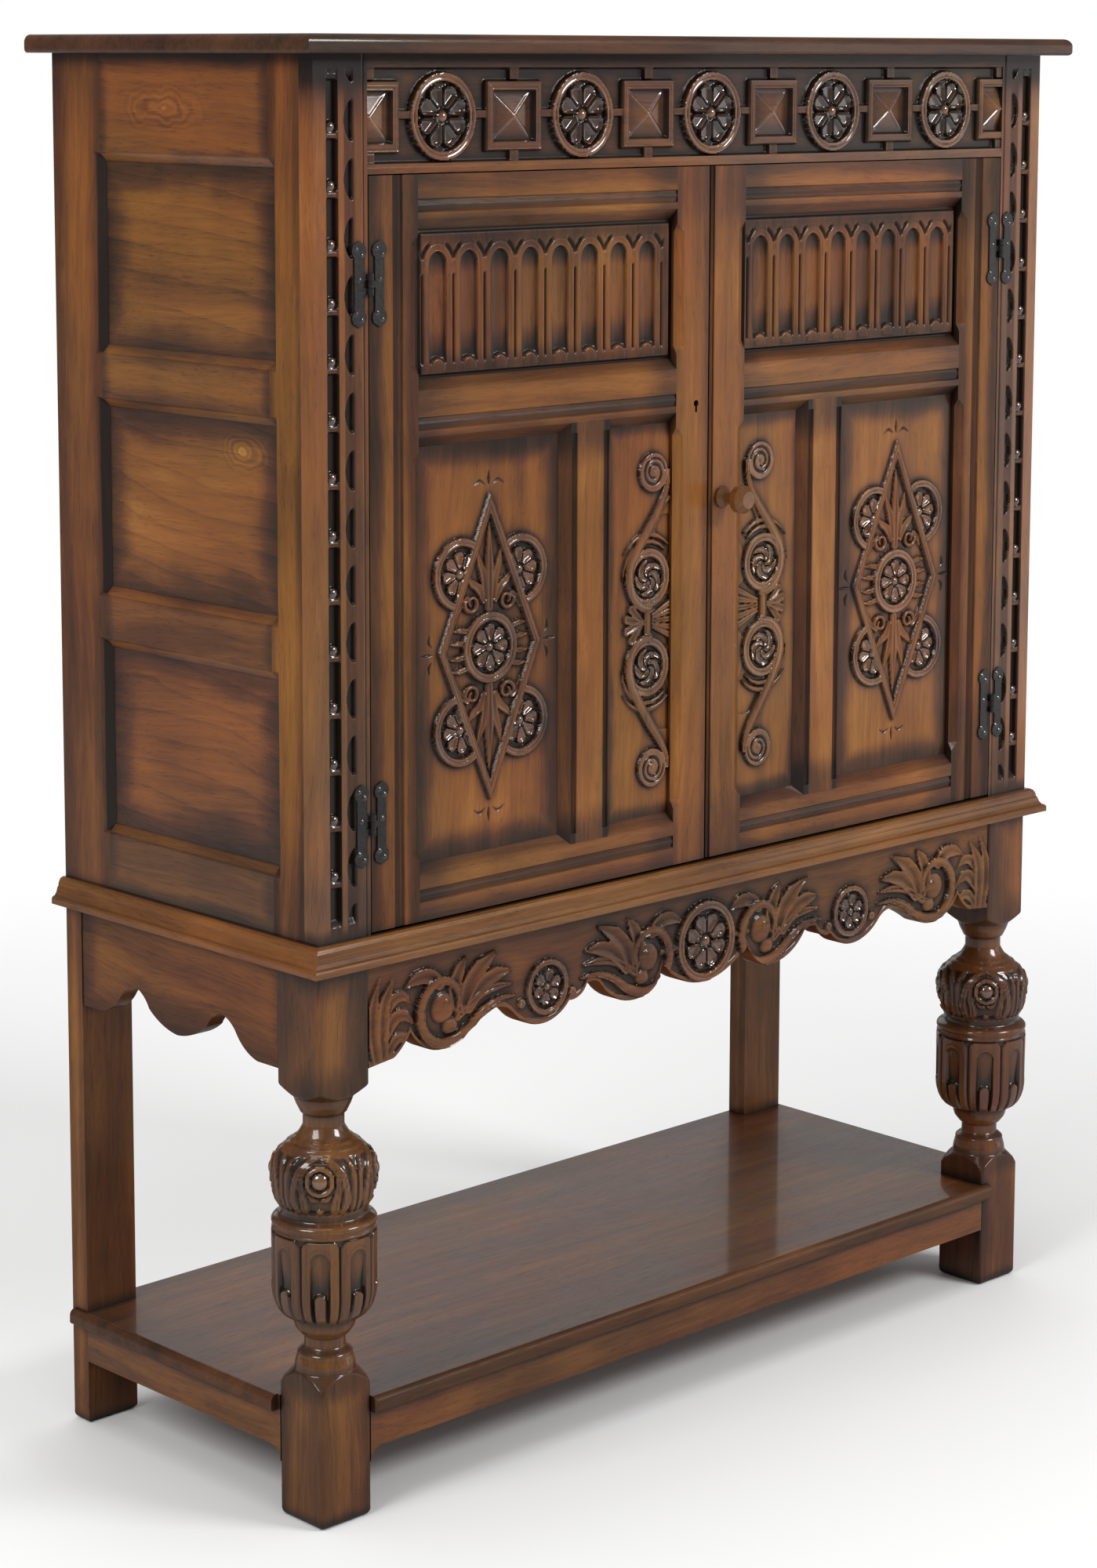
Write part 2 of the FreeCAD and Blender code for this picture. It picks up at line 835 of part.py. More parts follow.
def make_rear_leg():
    leg = box(
        -half_width, -half_width + leg_size, case_depth - rear_leg_depth, case_depth,
        0, stand_height,
    )
    foot = [edge for edge in leg.Edges if edge.BoundBox.ZMax < running_gap]
    return leg.makeFillet(foot_rounding, foot)


# Aprons: shares of half the length from the middle and of the height hanging below the moulding; a
# pair of points is an arc through the first to the second
front_apron_shares = [
    (0.000, 1.000),
    ((0.078, 0.935), (0.138, 0.775)),
    ((0.165, 0.930), (0.223, 1.000)),
    ((0.290, 0.935), (0.333, 0.790)),
    ((0.352, 0.764), (0.372, 0.772)),
    ((0.388, 0.845), (0.424, 0.868)),
    ((0.444, 0.935), (0.500, 1.000)),
    ((0.562, 0.945), (0.592, 0.860)),
    ((0.615, 0.800), (0.643, 0.783)),
    ((0.695, 0.860), (0.742, 0.960)),
    ((0.789, 1.000), (0.840, 0.960)),
    ((0.868, 0.890), (0.885, 0.806)),
    ((0.905, 0.900), (0.928, 0.970)),
    (1.000, 1.000),
]

side_apron_shares = [
    (0.000, 1.000),
    ((0.160, 0.955), (0.294, 0.862)),
    ((0.360, 0.770), (0.439, 0.723)),
    ((0.530, 0.765), (0.600, 0.850)),
    ((0.700, 0.955), (0.800, 1.000)),
    (1.000, 1.000),
]


def apron_edges(middle, half, shares, top, drop):
    # lower edge of an apron from one end to the other, drawn in x and z at y = 0
    def at(share, side):
        return Vector(middle + side * share[0] * half, 0, top - share[1] * drop)
    edges = []
    for side in (-1, 1):
        here = at(shares[0], side)
        for step in shares[1:]:
            if isinstance(step[0], tuple):
                there = at(step[1], side)
                edges.append(Part.Arc(here, at(step[0], side), there).toShape())
            else:
                there = at(step, side)
                edges.append(Part.LineSegment(here, there).toShape())
            here = there
    return edges


def apron_blank(middle, half, shares, y0):
    edges = apron_edges(middle, half, shares, stand_height, apron_height)
    low = stand_height - shares[-1][1] * apron_height
    corners = [
        Vector(middle - half, 0, low), Vector(middle - half, 0, stand_height),
        Vector(middle + half, 0, stand_height), Vector(middle + half, 0, low),
    ]
    for first, second in zip(corners, corners[1:]):
        edges.append(Part.LineSegment(first, second).toShape())
    wire = Part.Wire(Part.__sortEdges__(edges))
    face = Part.Face(wire)
    face.translate(Vector(0, y0, 0))
    return face.extrude(Vector(0, apron_thickness, 0))


def apron_tongue(x0, x1, gap):
    y0 = apron_set_back + (apron_thickness - tenon_thickness) / 2
    return box(
        x0 - gap, x1 + gap, y0 - gap, y0 + tenon_thickness + gap,
        stand_height - apron_tongue_drop - gap, stand_height - moulding_height + gap,
    )


def make_front_apron():
    half = half_width - leg_size
    blank = apron_blank(0, half, front_apron_shares, apron_set_back)
    return joined([
        blank,
        apron_tongue(-half - tenon_length + seat_gap, -half, 0),
        apron_tongue(half, half + tenon_length - seat_gap, 0),
    ])


def apron_mortise():
    edge = -half_width + leg_size
    return apron_tongue(edge - tenon_length, edge + cut_overrun, seat_gap)


def side_apron_span():
    return -case_depth + rear_leg_depth, -leg_size


def make_side_apron():
    x0, x1 = side_apron_span()
    half = (x1 - x0) / 2
    blank = apron_blank((x0 + x1) / 2, half, side_apron_shares, apron_set_back / 2)
    tongue = side_apron_tongue(x1, x1 + tenon_length - seat_gap, 0)
    return to_left_side(joined([blank, tongue]))


def side_apron_tongue(x0, x1, gap):
    y0 = apron_set_back / 2 + (apron_thickness - tenon_thickness) / 2
    low = stand_height - apron_tongue_drop - gap
    return box(
        x0 - gap, x1 + gap, y0 - gap, y0 + tenon_thickness + gap, low,
        low + (apron_tongue_drop - moulding_height) / 2 + 2 * gap,
    )


def side_apron_mortise():
    return to_left_side(side_apron_tongue(-leg_size - cut_overrun, -leg_size + tenon_length, seat_gap))


def make_rear_apron():
    half = half_width - leg_size
    return box(
        -half, half, case_depth - rear_leg_depth, case_depth - rear_leg_depth + apron_thickness,
        stand_height - rear_apron_height, stand_height,
    )


def rail_bracket_cut(x, side, y0, y1):
    # block with a hollow quarter round, hung under the rail against the left leg
    far = x + side * rail_bracket
    low = rail_bottom - rail_bracket
    block = box(min(x, far), max(x, far), y0, y1, low, rail_bottom)
    return block.cut(disc(rail_bracket, far, low, y0 - cut_overrun, y1 + cut_overrun))


def rail_tongue(x0, x1, gap):
    y0 = (rail_thickness - tenon_thickness) / 2
    return box(
        x0 - gap, x1 + gap, y0 - gap, y0 + tenon_thickness + gap,
        rail_bottom + tenon_shoulder - gap, rail_top - tenon_shoulder + gap,
    )


def make_lower_rail_front():
    half = half_width - leg_size
    rail = box(-half, half, 0, rail_thickness, rail_bottom, rail_top)
    return joined([
        rail,
        rail_bracket_cut(-half, 1, 0, rail_thickness),
        rail_tongue(-half - tenon_length + seat_gap, -half, 0),
        rail_tongue(half, half + tenon_length - seat_gap, 0),
    ])


def rail_mortise():
    edge = -half_width + leg_size
    return rail_tongue(edge - tenon_length, edge + cut_overrun, seat_gap)


def side_rail_mortise():
    return to_left_side(rail_tongue(-leg_size - cut_overrun, -leg_size + tenon_length, seat_gap))


def make_lower_rail_side(with_bracket):
    x0, x1 = side_apron_span()
    pieces = [
        box(x0, x1, 0, rail_thickness, rail_bottom, rail_top),
        rail_tongue(x1, x1 + tenon_length - seat_gap, 0),
    ]
    if with_bracket:
        pieces.append(rail_bracket_cut(x1, -1, 0, rail_thickness))
    return to_left_side(joined(pieces))


def make_lower_rail_rear():
    half = half_width - leg_size
    return box(
        -half, half, case_depth - rear_leg_depth, case_depth - rear_leg_depth + rail_thickness,
        rail_bottom, rail_top,
    )


def edge_rounding(radius, length):
    # what a quarter round takes off an edge that runs along x, with the wood at +y and below
    block = box(0, length, -cut_overrun, radius, -radius, cut_overrun)
    return block.cut(Part.makeCylinder(radius, length, Vector(0, radius, -radius), Vector(1, 0, 0)))


def make_pot_board():
    gap = board_leg_gap
    inner = half_width - leg_size - gap
    out = half_width + gap
    lip = half_width + board_lip
    front_stop = leg_size + lip_stop
    rear_stop = case_depth - lip_rear_margin
    rear_notch = case_depth - rear_leg_depth - gap
    right = [
        (inner + gap + lip_lap, -board_lip), (inner + gap + lip_lap, -gap), (inner, -gap),
        (inner, leg_size + gap), (half_width, leg_size + gap), (half_width, front_stop),
        (lip, front_stop), (lip, rear_stop), (out, rear_stop), (out, rear_notch),
        (inner, rear_notch), (inner, case_depth),
    ]
    left = [(-x, y) for x, y in reversed(right[3:])]
    left += [(-inner, -board_lip + cut_overrun), (-inner + lip_stop, -board_lip)]
    board = plate_xy(right + left, rail_top, board_top)
    cutters = []
    run = 2 * lip
    for radius, z, under in ((lip_rounding, board_top, False), (lip_under_rounding, rail_top, True)):
        tool = edge_rounding(radius, run)
        if under:
            tool = tool.mirror(Vector(0, 0, 0), Vector(0, 0, 1))
        front = tool.copy()
        front.translate(Vector(-lip, -board_lip, z))
        side = tool.copy()
        side.rotate(Vector(0, 0, 0), Vector(0, 0, 1), -90)
        side.translate(Vector(-lip, run, z))
        side = side.common(box(-lip - cut_overrun, -half_width, leg_size, case_depth, 0, total_height))
        front = front.common(box(-lip, lip, -board_lip - cut_overrun, 0, 0, total_height))
        cutters += [front, side, mirrored(side)]
    return carved(board, cutters)


# Waist moulding: overhang and height shares of its profile, from the top
moulding_shares = [
    (0.00, 1.00), (0.22, 1.00), (0.40, 0.93), (0.50, 0.80), (0.53, 0.66), (0.60, 0.60),
    (0.66, 0.45), (0.78, 0.32), (0.94, 0.27), (1.00, 0.20), (1.00, 0.00), (0.00, 0.00),
]


def moulding_section():
    low = stand_height - moulding_height
    return [(-a * moulding_overhang, low + b * moulding_height) for a, b in moulding_shares]


def make_waist_front():
    reach = half_width + moulding_overhang
    bar = plate_yz(moulding_section(), -reach, reach)
    past = moulding_overhang + cut_overrun
    low = stand_height - moulding_height - cut_overrun
    high = stand_height + cut_overrun
    mitre = plate_xy([
        (half_width, 0), (half_width + past, -past), (half_width + past, 0),
    ], low, high)
    return carved(bar, [mitre, mirrored(mitre)])


def make_waist_left():
    reach = moulding_overhang
    bar = plate_yz(moulding_section(), -case_depth, reach)
    past = moulding_overhang + cut_overrun
    low = stand_height - moulding_height - cut_overrun
    high = stand_height + cut_overrun
    mitre = plate_xy([(0, 0), (past, -past), (past, 0)], low, high)
    return to_left_side(carved(bar, [mitre]))


# Metalwork and fittings

# Half outline of a hinge leaf: widths as shares of the strap's, heights as shares of half the leaf
leaf_shares = [
    (0.50, 0.00), (0.50, 0.62), (0.72, 0.68), (0.80, 0.78), (0.66, 0.90), (0.26, 0.96), (0.00, 1.00),
]


def hinge_leaf(x, z, side, on_door):
    # strap leaf of an H hinge with spade-shaped ends, on the face beside the gap at x
    middle = x + side * (hinge_leaf_width - hinge_strap / 2)
    half = hinge_length / 2
    quarter = [(a * hinge_strap, b * half) for a, b in leaf_shares]
    outline = [(middle + a, z + b) for a, b in quarter]
    outline += [(middle - a, z + b) for a, b in reversed(quarter[:-1])]
    outline += [(middle - a, z - b) for a, b in quarter[1:]]
    outline += [(middle + a, z - b) for a, b in reversed(quarter[1:-1])]
    pieces = [plate_xz(outline, -hinge_plate, 0)]
    near = x + side * hinge_pin_radius
    for low, high in knuckle_spans(z, on_door):
        step = near + side * hinge_plate
        pieces.append(box(min(near, middle), max(near, middle), -hinge_plate, 0, low, high))
        pieces.append(box(min(x, step), max(x, step), -hinge_barrel_lift, -hinge_plate, low, high))
        pieces.append(post(hinge_knuckle_radius, x, -hinge_barrel_lift, low, high))
    bore = post(hinge_pin_radius + running_gap, x, -hinge_barrel_lift, z - half, z + half)
    return carved(joined(pieces), [bore])


def knuckle_spans(z, on_door):
    third = hinge_knuckle_length / 3
    gap = hinge_knuckle_gap / 2
    if on_door:
        return [(z - third / 2 + gap, z + third / 2 - gap)]
    return [(z - third * 3 / 2, z - third / 2 - gap), (z + third / 2 + gap, z + third * 3 / 2)]


def hinge_pin(x, z):
    return post(hinge_pin_radius, x, -hinge_barrel_lift,
                z - hinge_knuckle_length / 2, z + hinge_knuckle_length / 2)


def knob_centre():
    return right_door_start + knob_inset


# Radius and height shares of the knob, from its seat out
knob_shares = [
    (0.76, 0.00), (0.76, 0.08), (0.45, 0.22), (0.45, 0.42), (1.00, 0.64), (1.00, 0.82), (0.60, 1.00),
]


def make_knob():
    # turned knob on its spigot, drawn upright and laid over to point forward
    profile = [(0, -knob_spigot_length), (knob_spigot_radius, -knob_spigot_length), (knob_spigot_radius, 0)]
    profile += [(a * knob_head_radius, b * knob_reach) for a, b in knob_shares]
    profile.append((0, knob_reach))
    wire = Part.makePolygon([Vector(r, 0, h) for r, h in profile + profile[:1]])
    knob = Part.Face(wire).revolve(Vector(0, 0, 0), Vector(0, 0, 1), 360)
    knob.rotate(Vector(0, 0, 0), Vector(1, 0, 0), 90)
    knob.translate(Vector(knob_centre(), 0, knob_height))
    return knob


def knob_hole():
    return disc(knob_spigot_radius + running_gap, knob_centre(), knob_height,
                -cut_overrun, knob_spigot_length + seat_gap)


def lock_pocket(gap):
    # space let into the back of the left meeting stile
    return (
        left_door_end - lock_width - gap, left_door_end, face_thickness - lock_recess - gap,
        face_thickness, keyhole_height - lock_height / 2 - gap, keyhole_height + lock_height / 2 + gap,
    )


def lock_bolt_bounds(gap):
    middle = face_thickness - lock_recess / 2
    return (
        left_door_end - lock_bolt_length - gap, left_door_end, middle - lock_bolt_thickness / 2 - gap,
        middle + lock_bolt_thickness / 2 + gap, keyhole_height - lock_bolt_height / 2 - gap,
        keyhole_height + lock_bolt_height / 2 + gap,
    )


def make_lock_case():
    case = box(*lock_pocket(0))
    x0, x1, y0, y1, z0, z1 = lock_bolt_bounds(running_gap)
    return carved(case, [box(x0, x1 + cut_overrun, y0, y1, z0, z1)])


def make_lock_bolt():
    return box(*lock_bolt_bounds(0))


def lock_strike():
    # mortise in the right meeting stile that takes the bolt
    x0, x1, y0, y1, z0, z1 = lock_bolt_bounds(door_gap / 2)
    return box(right_door_start - cut_overrun, right_door_start + lock_bolt_travel, y0, y1, z0, z1)


def keyhole():
    x = left_door_end - keyhole_inset
    round_part = disc(keyhole_radius, x, keyhole_height, -cut_overrun, face_thickness - lock_recess)
    slot = box(
        x - keyhole_slot_width / 2, x + keyhole_slot_width / 2, -cut_overrun,
        face_thickness - lock_recess, keyhole_height - keyhole_slot, keyhole_height,
    )
    return round_part.fuse(slot)


def surface_bolt_place():
    x = left_door_end - left_meeting_stile / 2
    y = face_thickness + surface_plate_thickness + surface_bolt_radius + running_gap
    return x, y


def make_surface_bolt():
    x, y = surface_bolt_place()
    return post(surface_bolt_radius, x, y, door_top - surface_bolt_length, door_top)


def make_surface_plate():
    # back plate with two staples that the bolt slides through
    x, y = surface_bolt_place()
    half = surface_plate_width / 2
    low = door_top - surface_bolt_length + surface_bolt_travel
    high = door_top - surface_bolt_travel
    back = face_thickness + surface_plate_thickness
    inner = surface_bolt_radius + running_gap
    outer = inner + surface_staple_wall
    pieces = [box(x - half, x + half, face_thickness, back, low, high)]
    for z in (low + surface_staple_margin, high - surface_staple_margin - surface_staple_height):
        staple = box(x - outer, x + outer, back, y + outer, z, z + surface_staple_height)
        slot = box(x - inner, x + inner, back, y + inner, z, z + surface_staple_height)
        pieces.append(staple.cut(slot))
    return joined(pieces)


# Build and save every piece

save("top_board", [make_top_board()])
save("frieze_rail", [make_frieze()])
front_stile = make_front_stile()
save("front_stile_left", [front_stile])
save("front_stile_right", [mirrored(front_stile)])

side_front, side_rear, side_rails, side_panels = make_side_frame()
for name, shapes in (
    ("side_front_stile", [side_front]),
    ("side_rear_stile", [side_rear]),
    ("side_rails", side_rails),
    ("side_panels", side_panels),
):
    left_shapes = [to_left_side(shape) for shape in shapes]
    save(name + "_left", left_shapes)
    save(name + "_right", [mirrored(shape) for shape in left_shapes])

save("back_boards", make_back_boards())
save("case_floor", [make_floor()])
save("inner_shelf", [make_shelf()])
bearer = make_bearer()
save("shelf_bearers", [bearer, mirrored(bearer)])

left_door = make_door(
    left_door_start, left_door_end, left_hinge_stile, left_meeting_stile, left_scroll_width, True,
)
left_door["meeting_stile"] = carved(
    left_door["meeting_stile"], [box(*lock_pocket(seat_gap)), keyhole()],
)
right_door = make_door(
    right_door_start, right_door_end, right_hinge_stile, right_meeting_stile, right_scroll_width, False,
)
right_door["meeting_stile"] = carved(right_door["meeting_stile"], [lock_strike(), knob_hole()])
for name, shape in left_door.items():
    save("left_door_" + name, [shape])
for name, shape in right_door.items():
    save("right_door_" + name, [shape])

front_leg = make_front_leg()
save("front_leg_left", [front_leg])
save("front_leg_right", [mirrored(front_leg)])
rear_leg = make_rear_leg()
save("rear_leg_left", [rear_leg])
save("rear_leg_right", [mirrored(rear_leg)])
save("front_apron", [make_front_apron()])
side_apron = make_side_apron()
save("side_apron_left", [side_apron])
save("side_apron_right", [mirrored(side_apron)])
save("rear_apron", [make_rear_apron()])
save("lower_rail_front", [make_lower_rail_front()])
save("lower_rail_left", [make_lower_rail_side(True)])
save("lower_rail_right", [mirrored(make_lower_rail_side(False))])
save("lower_rail_rear", [make_lower_rail_rear()])
save("pot_board", [make_pot_board()])
save("waist_moulding_front", [make_waist_front()])
waist_left = make_waist_left()
save("waist_moulding_left", [waist_left])
save("waist_moulding_right", [mirrored(waist_left)])

hinge_heights = (hinge_upper_height, hinge_lower_height)
frame_leaves = [hinge_leaf(hinge_gap_left, z, -1, False) for z in hinge_heights]
frame_leaves += [hinge_leaf(hinge_gap_right, z, 1, False) for z in hinge_heights]
save("hinge_frame_leaves", frame_leaves)
save("left_door_hinge_leaves", [hinge_leaf(hinge_gap_left, z, 1, True) for z in hinge_heights])
save("right_door_hinge_leaves", [hinge_leaf(hinge_gap_right, z, -1, True) for z in hinge_heights])
pins = [hinge_pin(hinge_gap_left, z) for z in hinge_heights]
pins += [hinge_pin(hinge_gap_right, z) for z in hinge_heights]
save("hinge_pins", pins)
save("door_knob", [make_knob()])
save("lock_case", [make_lock_case()])
save("lock_bolt", [make_lock_bolt()])
save("surface_bolt_plate", [make_surface_plate()])
save("surface_bolt", [make_surface_bolt()])

print("hinge axis left", hinge_gap_left, front_shift - hinge_barrel_lift)
print("hinge axis right", hinge_gap_right, front_shift - hinge_barrel_lift)
print("front plane", front_shift)
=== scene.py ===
import bmesh
import bpy
import json
import math
import numpy as np
from mathutils import Matrix, Vector

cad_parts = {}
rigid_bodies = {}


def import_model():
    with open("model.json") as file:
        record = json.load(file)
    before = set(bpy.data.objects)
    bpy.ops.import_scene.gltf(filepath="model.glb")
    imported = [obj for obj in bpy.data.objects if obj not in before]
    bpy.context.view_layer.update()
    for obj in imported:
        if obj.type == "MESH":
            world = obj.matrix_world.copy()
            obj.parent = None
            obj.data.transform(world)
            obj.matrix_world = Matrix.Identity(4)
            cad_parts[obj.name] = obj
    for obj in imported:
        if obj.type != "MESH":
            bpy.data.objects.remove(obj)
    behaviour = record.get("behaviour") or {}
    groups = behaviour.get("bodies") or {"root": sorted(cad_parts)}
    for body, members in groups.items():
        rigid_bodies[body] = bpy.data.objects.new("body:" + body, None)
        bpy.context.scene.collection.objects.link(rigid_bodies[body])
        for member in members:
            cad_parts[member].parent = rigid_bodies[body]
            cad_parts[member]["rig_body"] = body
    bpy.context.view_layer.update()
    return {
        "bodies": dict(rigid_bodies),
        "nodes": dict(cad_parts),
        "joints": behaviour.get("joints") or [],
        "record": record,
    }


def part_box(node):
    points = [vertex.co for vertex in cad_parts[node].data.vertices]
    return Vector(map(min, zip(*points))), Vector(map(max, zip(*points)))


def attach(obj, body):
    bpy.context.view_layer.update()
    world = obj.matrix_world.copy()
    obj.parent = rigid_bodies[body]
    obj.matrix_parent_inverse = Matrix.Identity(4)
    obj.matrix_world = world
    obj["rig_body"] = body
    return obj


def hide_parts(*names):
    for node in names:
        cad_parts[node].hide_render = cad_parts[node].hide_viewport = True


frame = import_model()
mm = 0.001
print("frame loaded:", len(frame["nodes"]), "nodes")


def pick(sizes, *names):
    return [sizes[name] for name in names]


class Nodes:      # short ways to fill a node tree
    def __init__(self, tree):
        self.tree = tree

    def add(self, kind, inputs=None, **settings):
        made = self.tree.nodes.new(kind)
        for name, value in settings.items():
            setattr(made, name, value)
        for name, value in (inputs or {}).items():
            if isinstance(value, bpy.types.NodeSocket):
                self.tree.links.new(value, made.inputs[name])
            else:
                made.inputs[name].default_value = value
        return made

    def math(self, operation, *values, **settings):
        return self.add("ShaderNodeMath", dict(enumerate(values)), operation=operation, **settings).outputs[0]

    def vector(self, operation, *values):
        made = self.add("ShaderNodeVectorMath", dict(enumerate(values)), operation=operation)
        return made.outputs["Value" if operation == "LENGTH" else "Vector"]

    def ramp(self, value, start=0.0, end=1.0, low=0.0, high=1.0, easing="LINEAR"):
        return self.add("ShaderNodeMapRange", {"Value": value, "From Min": start, "From Max": end, "To Min": low,
                                               "To Max": high}, interpolation_type=easing).outputs["Result"]

    def shape(self, item):
        return self.add("GeometryNodeObjectInfo", {"Object": item}).outputs["Geometry"]

    def copies(self, points, item, **more):      # an object's shape at each point
        return self.add("GeometryNodeInstanceOnPoints", {"Points": points, "Instance": self.shape(item), **more})

    def row(self, given, item):      # and at each step of a line
        line = self.add("GeometryNodeMeshLine", {"Count": given["Count"], "Offset": given["Step"]})
        return self.copies(line.outputs["Mesh"], item)

    def real(self, geometry):
        return self.add("GeometryNodeRealizeInstances", {"Geometry": geometry.outputs[0]})

    def close(self, geometry, finish):
        paint = self.add("GeometryNodeSetMaterial", {"Geometry": geometry.outputs[0], "Material": finish})
        self.add("NodeGroupOutput", {"Geometry": paint.outputs[0]})
        return self.tree


def newMaterial(name):
    made = bpy.data.materials.new(name)
    made.use_nodes = True
    made.node_tree.nodes.clear()
    return made, Nodes(made.node_tree)


def newTree(name, kind, inputs, outputs):
    tree = bpy.data.node_groups.new(name, kind)
    for way, sockets in (("INPUT", inputs), ("OUTPUT", outputs)):
        for socket, form in sockets.items():
            tree.interface.new_socket(socket, in_out=way, socket_type="NodeSocket" + form)
    nodes = Nodes(tree)
    return nodes, nodes.add("NodeGroupInput").outputs


def addObject(name, data):
    made = bpy.data.objects.new(name, data)
    bpy.context.scene.collection.objects.link(made)
    return made


def addMesh(name, points, faces, layers=None, finish=None):
    mesh = bpy.data.meshes.new(name)
    mesh.from_pydata(points, [], faces)
    for label, values in (layers or {}).items():      # vertices past the end of a layer get 0
        filled = np.zeros(len(points), np.float32)
        filled[:values.size] = values.ravel()
        mesh.attributes.new(label, "FLOAT", "POINT").data.foreach_set("value", filled)
    if finish:
        mesh.materials.append(finish)
    return addObject(name, mesh)


# Camera, floor and lights

camera = {"place": (-2583.64, -2635.61, 1400.66), "turn": 0.76561, "tip": 0.13973, "roll": 0.00253,
          "focus": 4473.5, "longSide": 2000.0, "drop": 300.0, "sensor": 36.0, "farthest": 60}


def makeCamera():
    turn, tip, roll = pick(camera, "turn", "tip", "roll")
    ahead = Vector((math.sin(turn) * math.cos(tip), math.cos(turn) * math.cos(tip), -math.sin(tip)))
    right = Vector((math.cos(turn), -math.sin(turn), 0))
    up = right.cross(ahead)
    axes = Matrix((right * math.cos(roll) + up * math.sin(roll), up * math.cos(roll) - right * math.sin(roll), -ahead))
    data = bpy.data.cameras.new("camera")
    data.sensor_width = camera["sensor"]
    data.lens = camera["focus"] / camera["longSide"] * camera["sensor"]
    data.shift_y = -camera["drop"] / camera["longSide"]
    data.clip_end = camera["farthest"]
    seen = addObject("camera", data)
    seen.matrix_world = Matrix.Translation(Vector(camera["place"]) * mm) @ axes.transposed().to_4x4()
    bpy.context.scene.camera = seen


studio = {"floorTone": 0.93, "fadeFrom": 1.1, "fadeTo": 2.4, "floorSheen": 0.12, "floorMirror": 0.42,
          "skyTone": 0.95, "skyLevel": 0.46, "skySheen": 0.35, "reach": 14.0}


def makeStudio():
    finish, nodes = newMaterial("paleFloor")
    away = nodes.vector("LENGTH", nodes.add("ShaderNodeTexCoord").outputs["Object"])
    fade = nodes.ramp(away, studio["fadeFrom"], studio["fadeTo"], easing="SMOOTHSTEP")
    rays = nodes.add("ShaderNodeLightPath").outputs
    seen = nodes.math("MULTIPLY_ADD", rays["Is Glossy Ray"], studio["floorSheen"], rays["Is Camera Ray"])
    tone = nodes.ramp(rays["Is Glossy Ray"], low=studio["floorTone"], high=studio["floorTone"] * studio["floorMirror"])
    shade = nodes.add("ShaderNodeCombineColor", {axis: tone for axis in ("Red", "Green", "Blue")})
    matt = nodes.add("ShaderNodeBsdfDiffuse", {"Color": shade.outputs[0]})
    white = nodes.add("ShaderNodeEmission", {"Color": (1, 1, 1, 1), "Strength": 1.0})
    mix = nodes.add("ShaderNodeMixShader", {0: nodes.math("MULTIPLY", fade, seen), 1: matt.outputs[0],
                                            2: white.outputs[0]})
    nodes.add("ShaderNodeOutputMaterial", {"Surface": mix.outputs[0]})
    reach = studio["reach"]
    floor = addMesh("floor", [(-reach, -reach, 0), (reach, -reach, 0), (reach, reach, 0), (-reach, reach, 0)],
                    [(0, 1, 2, 3)], finish=finish)

    world = bpy.data.worlds.new("studio")
    bpy.context.scene.world = world
    world.use_nodes = True
    world.node_tree.nodes.clear()
    nodes = Nodes(world.node_tree)
    rays = nodes.add("ShaderNodeLightPath").outputs
    seen = nodes.math("MAXIMUM", rays["Is Camera Ray"], rays["Is Transmission Ray"])
    level = nodes.ramp(rays["Is Glossy Ray"], low=studio["skyLevel"], high=studio["skyLevel"] * studio["skySheen"])
    glow = nodes.add("ShaderNodeBackground", {"Color": (*[studio["skyTone"]] * 3, 1), "Strength": level})
    white = nodes.add("ShaderNodeBackground", {"Color": (1, 1, 1, 1), "Strength": 1.0})
    mix = nodes.add("ShaderNodeMixShader", {0: seen, 1: glow.outputs[0], 2: white.outputs[0]})
    nodes.add("ShaderNodeOutputWorld", {"Surface": mix.outputs[0]})


lamps = {      # place, aim, width, height, power
    "front": ((1.4, -3.1, 2.6), (0.1, -0.1, 0.75), 1.4, 1.0, 77),
    "side": ((-3.2, -0.4, 2.8), (-0.2, 0.0, 1.0), 1.5, 1.5, 62),
    "over": ((-0.2, 0.3, 3.6), (0.0, 0.0, 0.0), 2.4, 1.8, 34),
    "back": ((2.6, 3.4, 2.0), (0.1, 0.0, 0.6), 4.2, 2.4, 21),
    "right": ((3.3, -2.2, 1.0), (0.2, -0.1, 0.8), 1.7, 2.0, 9),
}


def makeLamps():
    for name, (place, aim, width, height, power) in lamps.items():
        data = bpy.data.lights.new(name, "AREA")
        data.shape, data.size, data.size_y, data.energy = "RECTANGLE", width, height, power
        made = addObject(name, data)
        made.location = place
        made.rotation_euler = (Vector(aim) - Vector(place)).to_track_quat("-Z", "Y").to_euler()


makeCamera()
makeStudio()
makeLamps()
bpy.context.scene.view_settings.view_transform = "Standard"
print("camera, floor and lamps placed")

# Oak: long grain along X of the vector it is given

oakTones = {0.0: (0.0125, 0.0068, 0.0045, 1), 0.20: (0.038, 0.0155, 0.0072, 1), 0.44: (0.095, 0.0330, 0.0105, 1),
            0.72: (0.220, 0.0800, 0.0150, 1), 1.0: (0.37, 0.165, 0.036, 1)}
oakCasts = ((1.00, 1.06, 0.86, 1), (1.04, 0.89, 0.86, 1))      # ochre and red-brown
grain = {"drift": ((1.9, 5.0, 5.0), 2.0), "pores": ((38.0, 1150.0, 1150.0), 1.0),      # noise scales, detail
         "fibre": ((11.0, 260.0, 260.0), 3.0), "streak": ((1.5, 34.0, 34.0), 3.0),
         "patina": ((5.5, 8.0, 8.0), 3.0), "hue": ((2.2, 7.0, 7.0), 2.0)}
weights = {"rings": -0.10, "fibre": 0.26, "streak": 0.52, "patina": 0.50, "pits": -0.13}
rings = {"Scale": 24.0, "Distortion": 3.2, "Detail": 2.0, "Detail Scale": 1.2, "Detail Roughness": 0.5}


